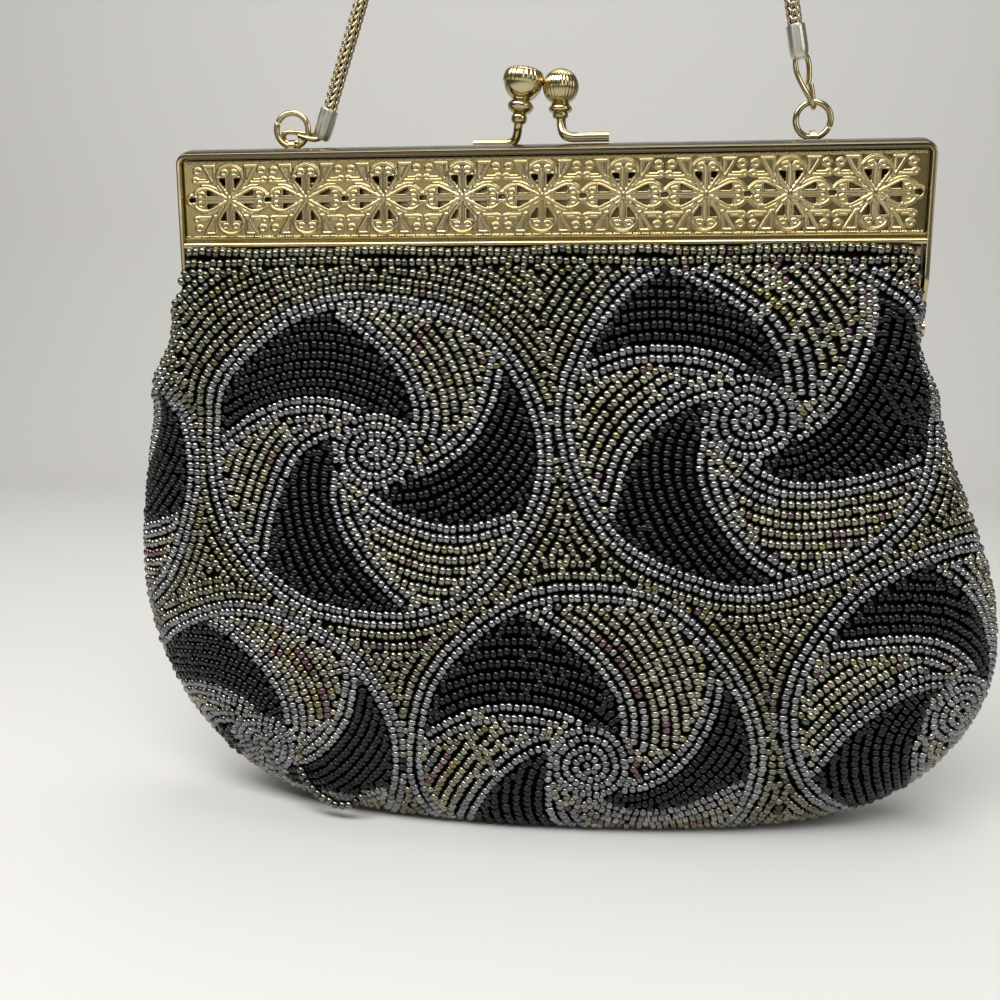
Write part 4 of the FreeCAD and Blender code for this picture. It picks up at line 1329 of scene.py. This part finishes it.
class PURSE_OT_cloth(bpy.types.Operator):
    """Black cloth under the beads, its lining and the gusset tabs"""

    bl_idname = "purse.cloth"
    bl_label = "Cloth"

    TAB_TRIM = 1.15

    def tab_shape(self, name):
        """Tab: levels are superellipses of power 4, drawn in at top and bottom and kept off the seam."""
        low, high = node_box(name + "_gusset_tab")
        middle, half = (low + high) / 2, (high - low) / 2
        middle[0] -= self.TAB_TRIM * np.sign(middle[0])
        half[0] -= self.TAB_TRIM
        turn = np.arange(24) * 2 * math.pi / 24
        z = np.linspace(low[2], high[2], 20)[:, None]
        narrow = np.sqrt(np.clip(1 - ((z - middle[2]) / half[2]) ** 8, 0.05, 1.0))
        x = middle[0] + half[0] * np.sign(np.cos(turn)) * np.abs(np.cos(turn)) ** 0.5 + 0 * z
        y = half[1] * narrow * np.sign(np.sin(turn)) * np.abs(np.sin(turn)) ** 0.5
        return skin(np.stack([x, y, z + 0 * x], axis=-1))

    def execute(self, context):
        colours = context.scene.purse_colours
        # Cotton canvas, plainly woven: a black ground without shine between the beads. Its threads of about
        # 0.3 mm are too fine to show and are drawn at 0.5 mm.
        canvas = cloth("black_cotton_canvas", colours.canvas, 0.5, 0.9, 0.0, 0.1)
        # Satin, woven with long floats: a smooth face with a soft sheen. Its threads of about 0.1 mm are too
        # fine to show and are drawn at 0.25 mm.
        satin = cloth("black_satin_lining", colours.satin, 0.25, 0.42, 0.2, 0.4)
        # Walls: label, grid and insets of the two faces, finish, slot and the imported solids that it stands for
        walls = (("cloth", (120, 161, 1.35, 1.85), canvas, "beaded_cloth", ("panel", "collar")),
                 ("lining_cloth", (80, 121, 1.95, 2.4), satin, "satin", ("lining", "collar_lining")))
        for label, measures, material, slot, nodes in walls:
            shape = MERIDIAN.shell(*measures)
            for side, name in SIDES:
                piece = new_piece(name + "_" + label, facing(shape, side), material)
                neck_blend(piece)
                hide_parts(*(name + "_" + node for node in nodes))
        for name in ("left", "right"):
            tab = new_piece(name + "_tab_cloth", self.tab_shape(name), satin)
            dress(tab, "pouch", "satin", name + "_gusset_tab")
        return {"FINISHED"}


class PURSE_OT_beads(bpy.types.Operator):
    """Seed beads in pinwheels, front and back"""

    bl_idname = "purse.beads"
    bl_label = "Beads"

    PALETTES = {
        JET: ("#020203", "#040405"),
        SILVER: ("#828282", "#8A8987", "#7A797B", "#8E8D87"),
        BRONZE: ("#8B887B", "#918D7B", "#848577", "#928F81", "#7C7658", "#6A565A", "#686E6A"),
        GROUND: ("#767466", "#7C7968", "#707266", "#7E7B6E", "#68634A", "#5A4A4C", "#585E5A"),
    }

    def execute(self, context):
        sizes = context.scene.purse_sizes
        # Black pressed glass: deep black with one small white glint on each bead
        jet = bead_glass("jet_glass_beads", 0.0, 0.09, 0.36)
        # Glass with a dark metal coat: a grey mirror, bright where it faces a lamp
        hematite = bead_glass("hematite_glass_beads", 1.0, 0.09, 0.5)
        # Glass with an iris coat: olive grey glints with a few pink, yellow and teal ones among them
        bronze = bead_glass("bronze_iris_glass_beads", 1.0, 0.09, 0.5)
        materials = {JET: jet, SILVER: hematite, BRONZE: bronze, GROUND: bronze}
        for (side, name), flip, seed in zip(SIDES, (1.0, -1.0), (5, 6)):
            layout = BeadLayout(sizes, flip, seed)
            layout.lay_strands()
            layout.lay_circles()
            layout.lay_blades()
            layout.lay_ground()
            layout.fill_gaps()
            if side == FRONT_SIDE:
                layout.lay_loose_strand()
            for kind, palette in self.PALETTES.items():
                rows = [row for row in layout.rows if row["kind"] == kind]
                label = name + "_beads_" + kind
                piece = bead_piece(label, rows, side, sizes, palette, materials[kind], layout.random)
                neck_blend(piece)
        return {"FINISHED"}


class PURSE_PT_panel(bpy.types.Panel):
    """Lists the purse's builders, sizes and colours"""

    bl_idname = "PURSE_PT_panel"
    bl_label = "Purse"
    bl_space_type = "VIEW_3D"
    bl_region_type = "UI"
    bl_category = "Purse"

    def draw(self, context):
        for operator in OPERATORS:
            self.layout.operator(operator.bl_idname)
        for group in (context.scene.purse_sizes, context.scene.purse_colours):
            for name in group.bl_rna.properties.keys():
                if name not in ("rna_type", "name"):
                    self.layout.prop(group, name)


OPERATORS = (PURSE_OT_stage, PURSE_OT_handle, PURSE_OT_frame, PURSE_OT_clasp, PURSE_OT_cloth, PURSE_OT_beads)
CLASSES = (PurseSizes, PurseColours) + OPERATORS + (PURSE_PT_panel,)


def register():
    for cls in CLASSES:
        bpy.utils.register_class(cls)
    bpy.types.Scene.purse_sizes = bpy.props.PointerProperty(type=PurseSizes)
    bpy.types.Scene.purse_colours = bpy.props.PointerProperty(type=PurseColours)


def unregister():
    del bpy.types.Scene.purse_colours
    del bpy.types.Scene.purse_sizes
    for cls in reversed(CLASSES):
        bpy.utils.unregister_class(cls)


def main():
    register()
    bpy.ops.purse.stage()
    bpy.ops.purse.handle()
    bpy.ops.purse.frame()
    bpy.ops.purse.clasp()
    bpy.ops.purse.cloth()
    bpy.ops.purse.beads()


if __name__ == "__main__":
    main()
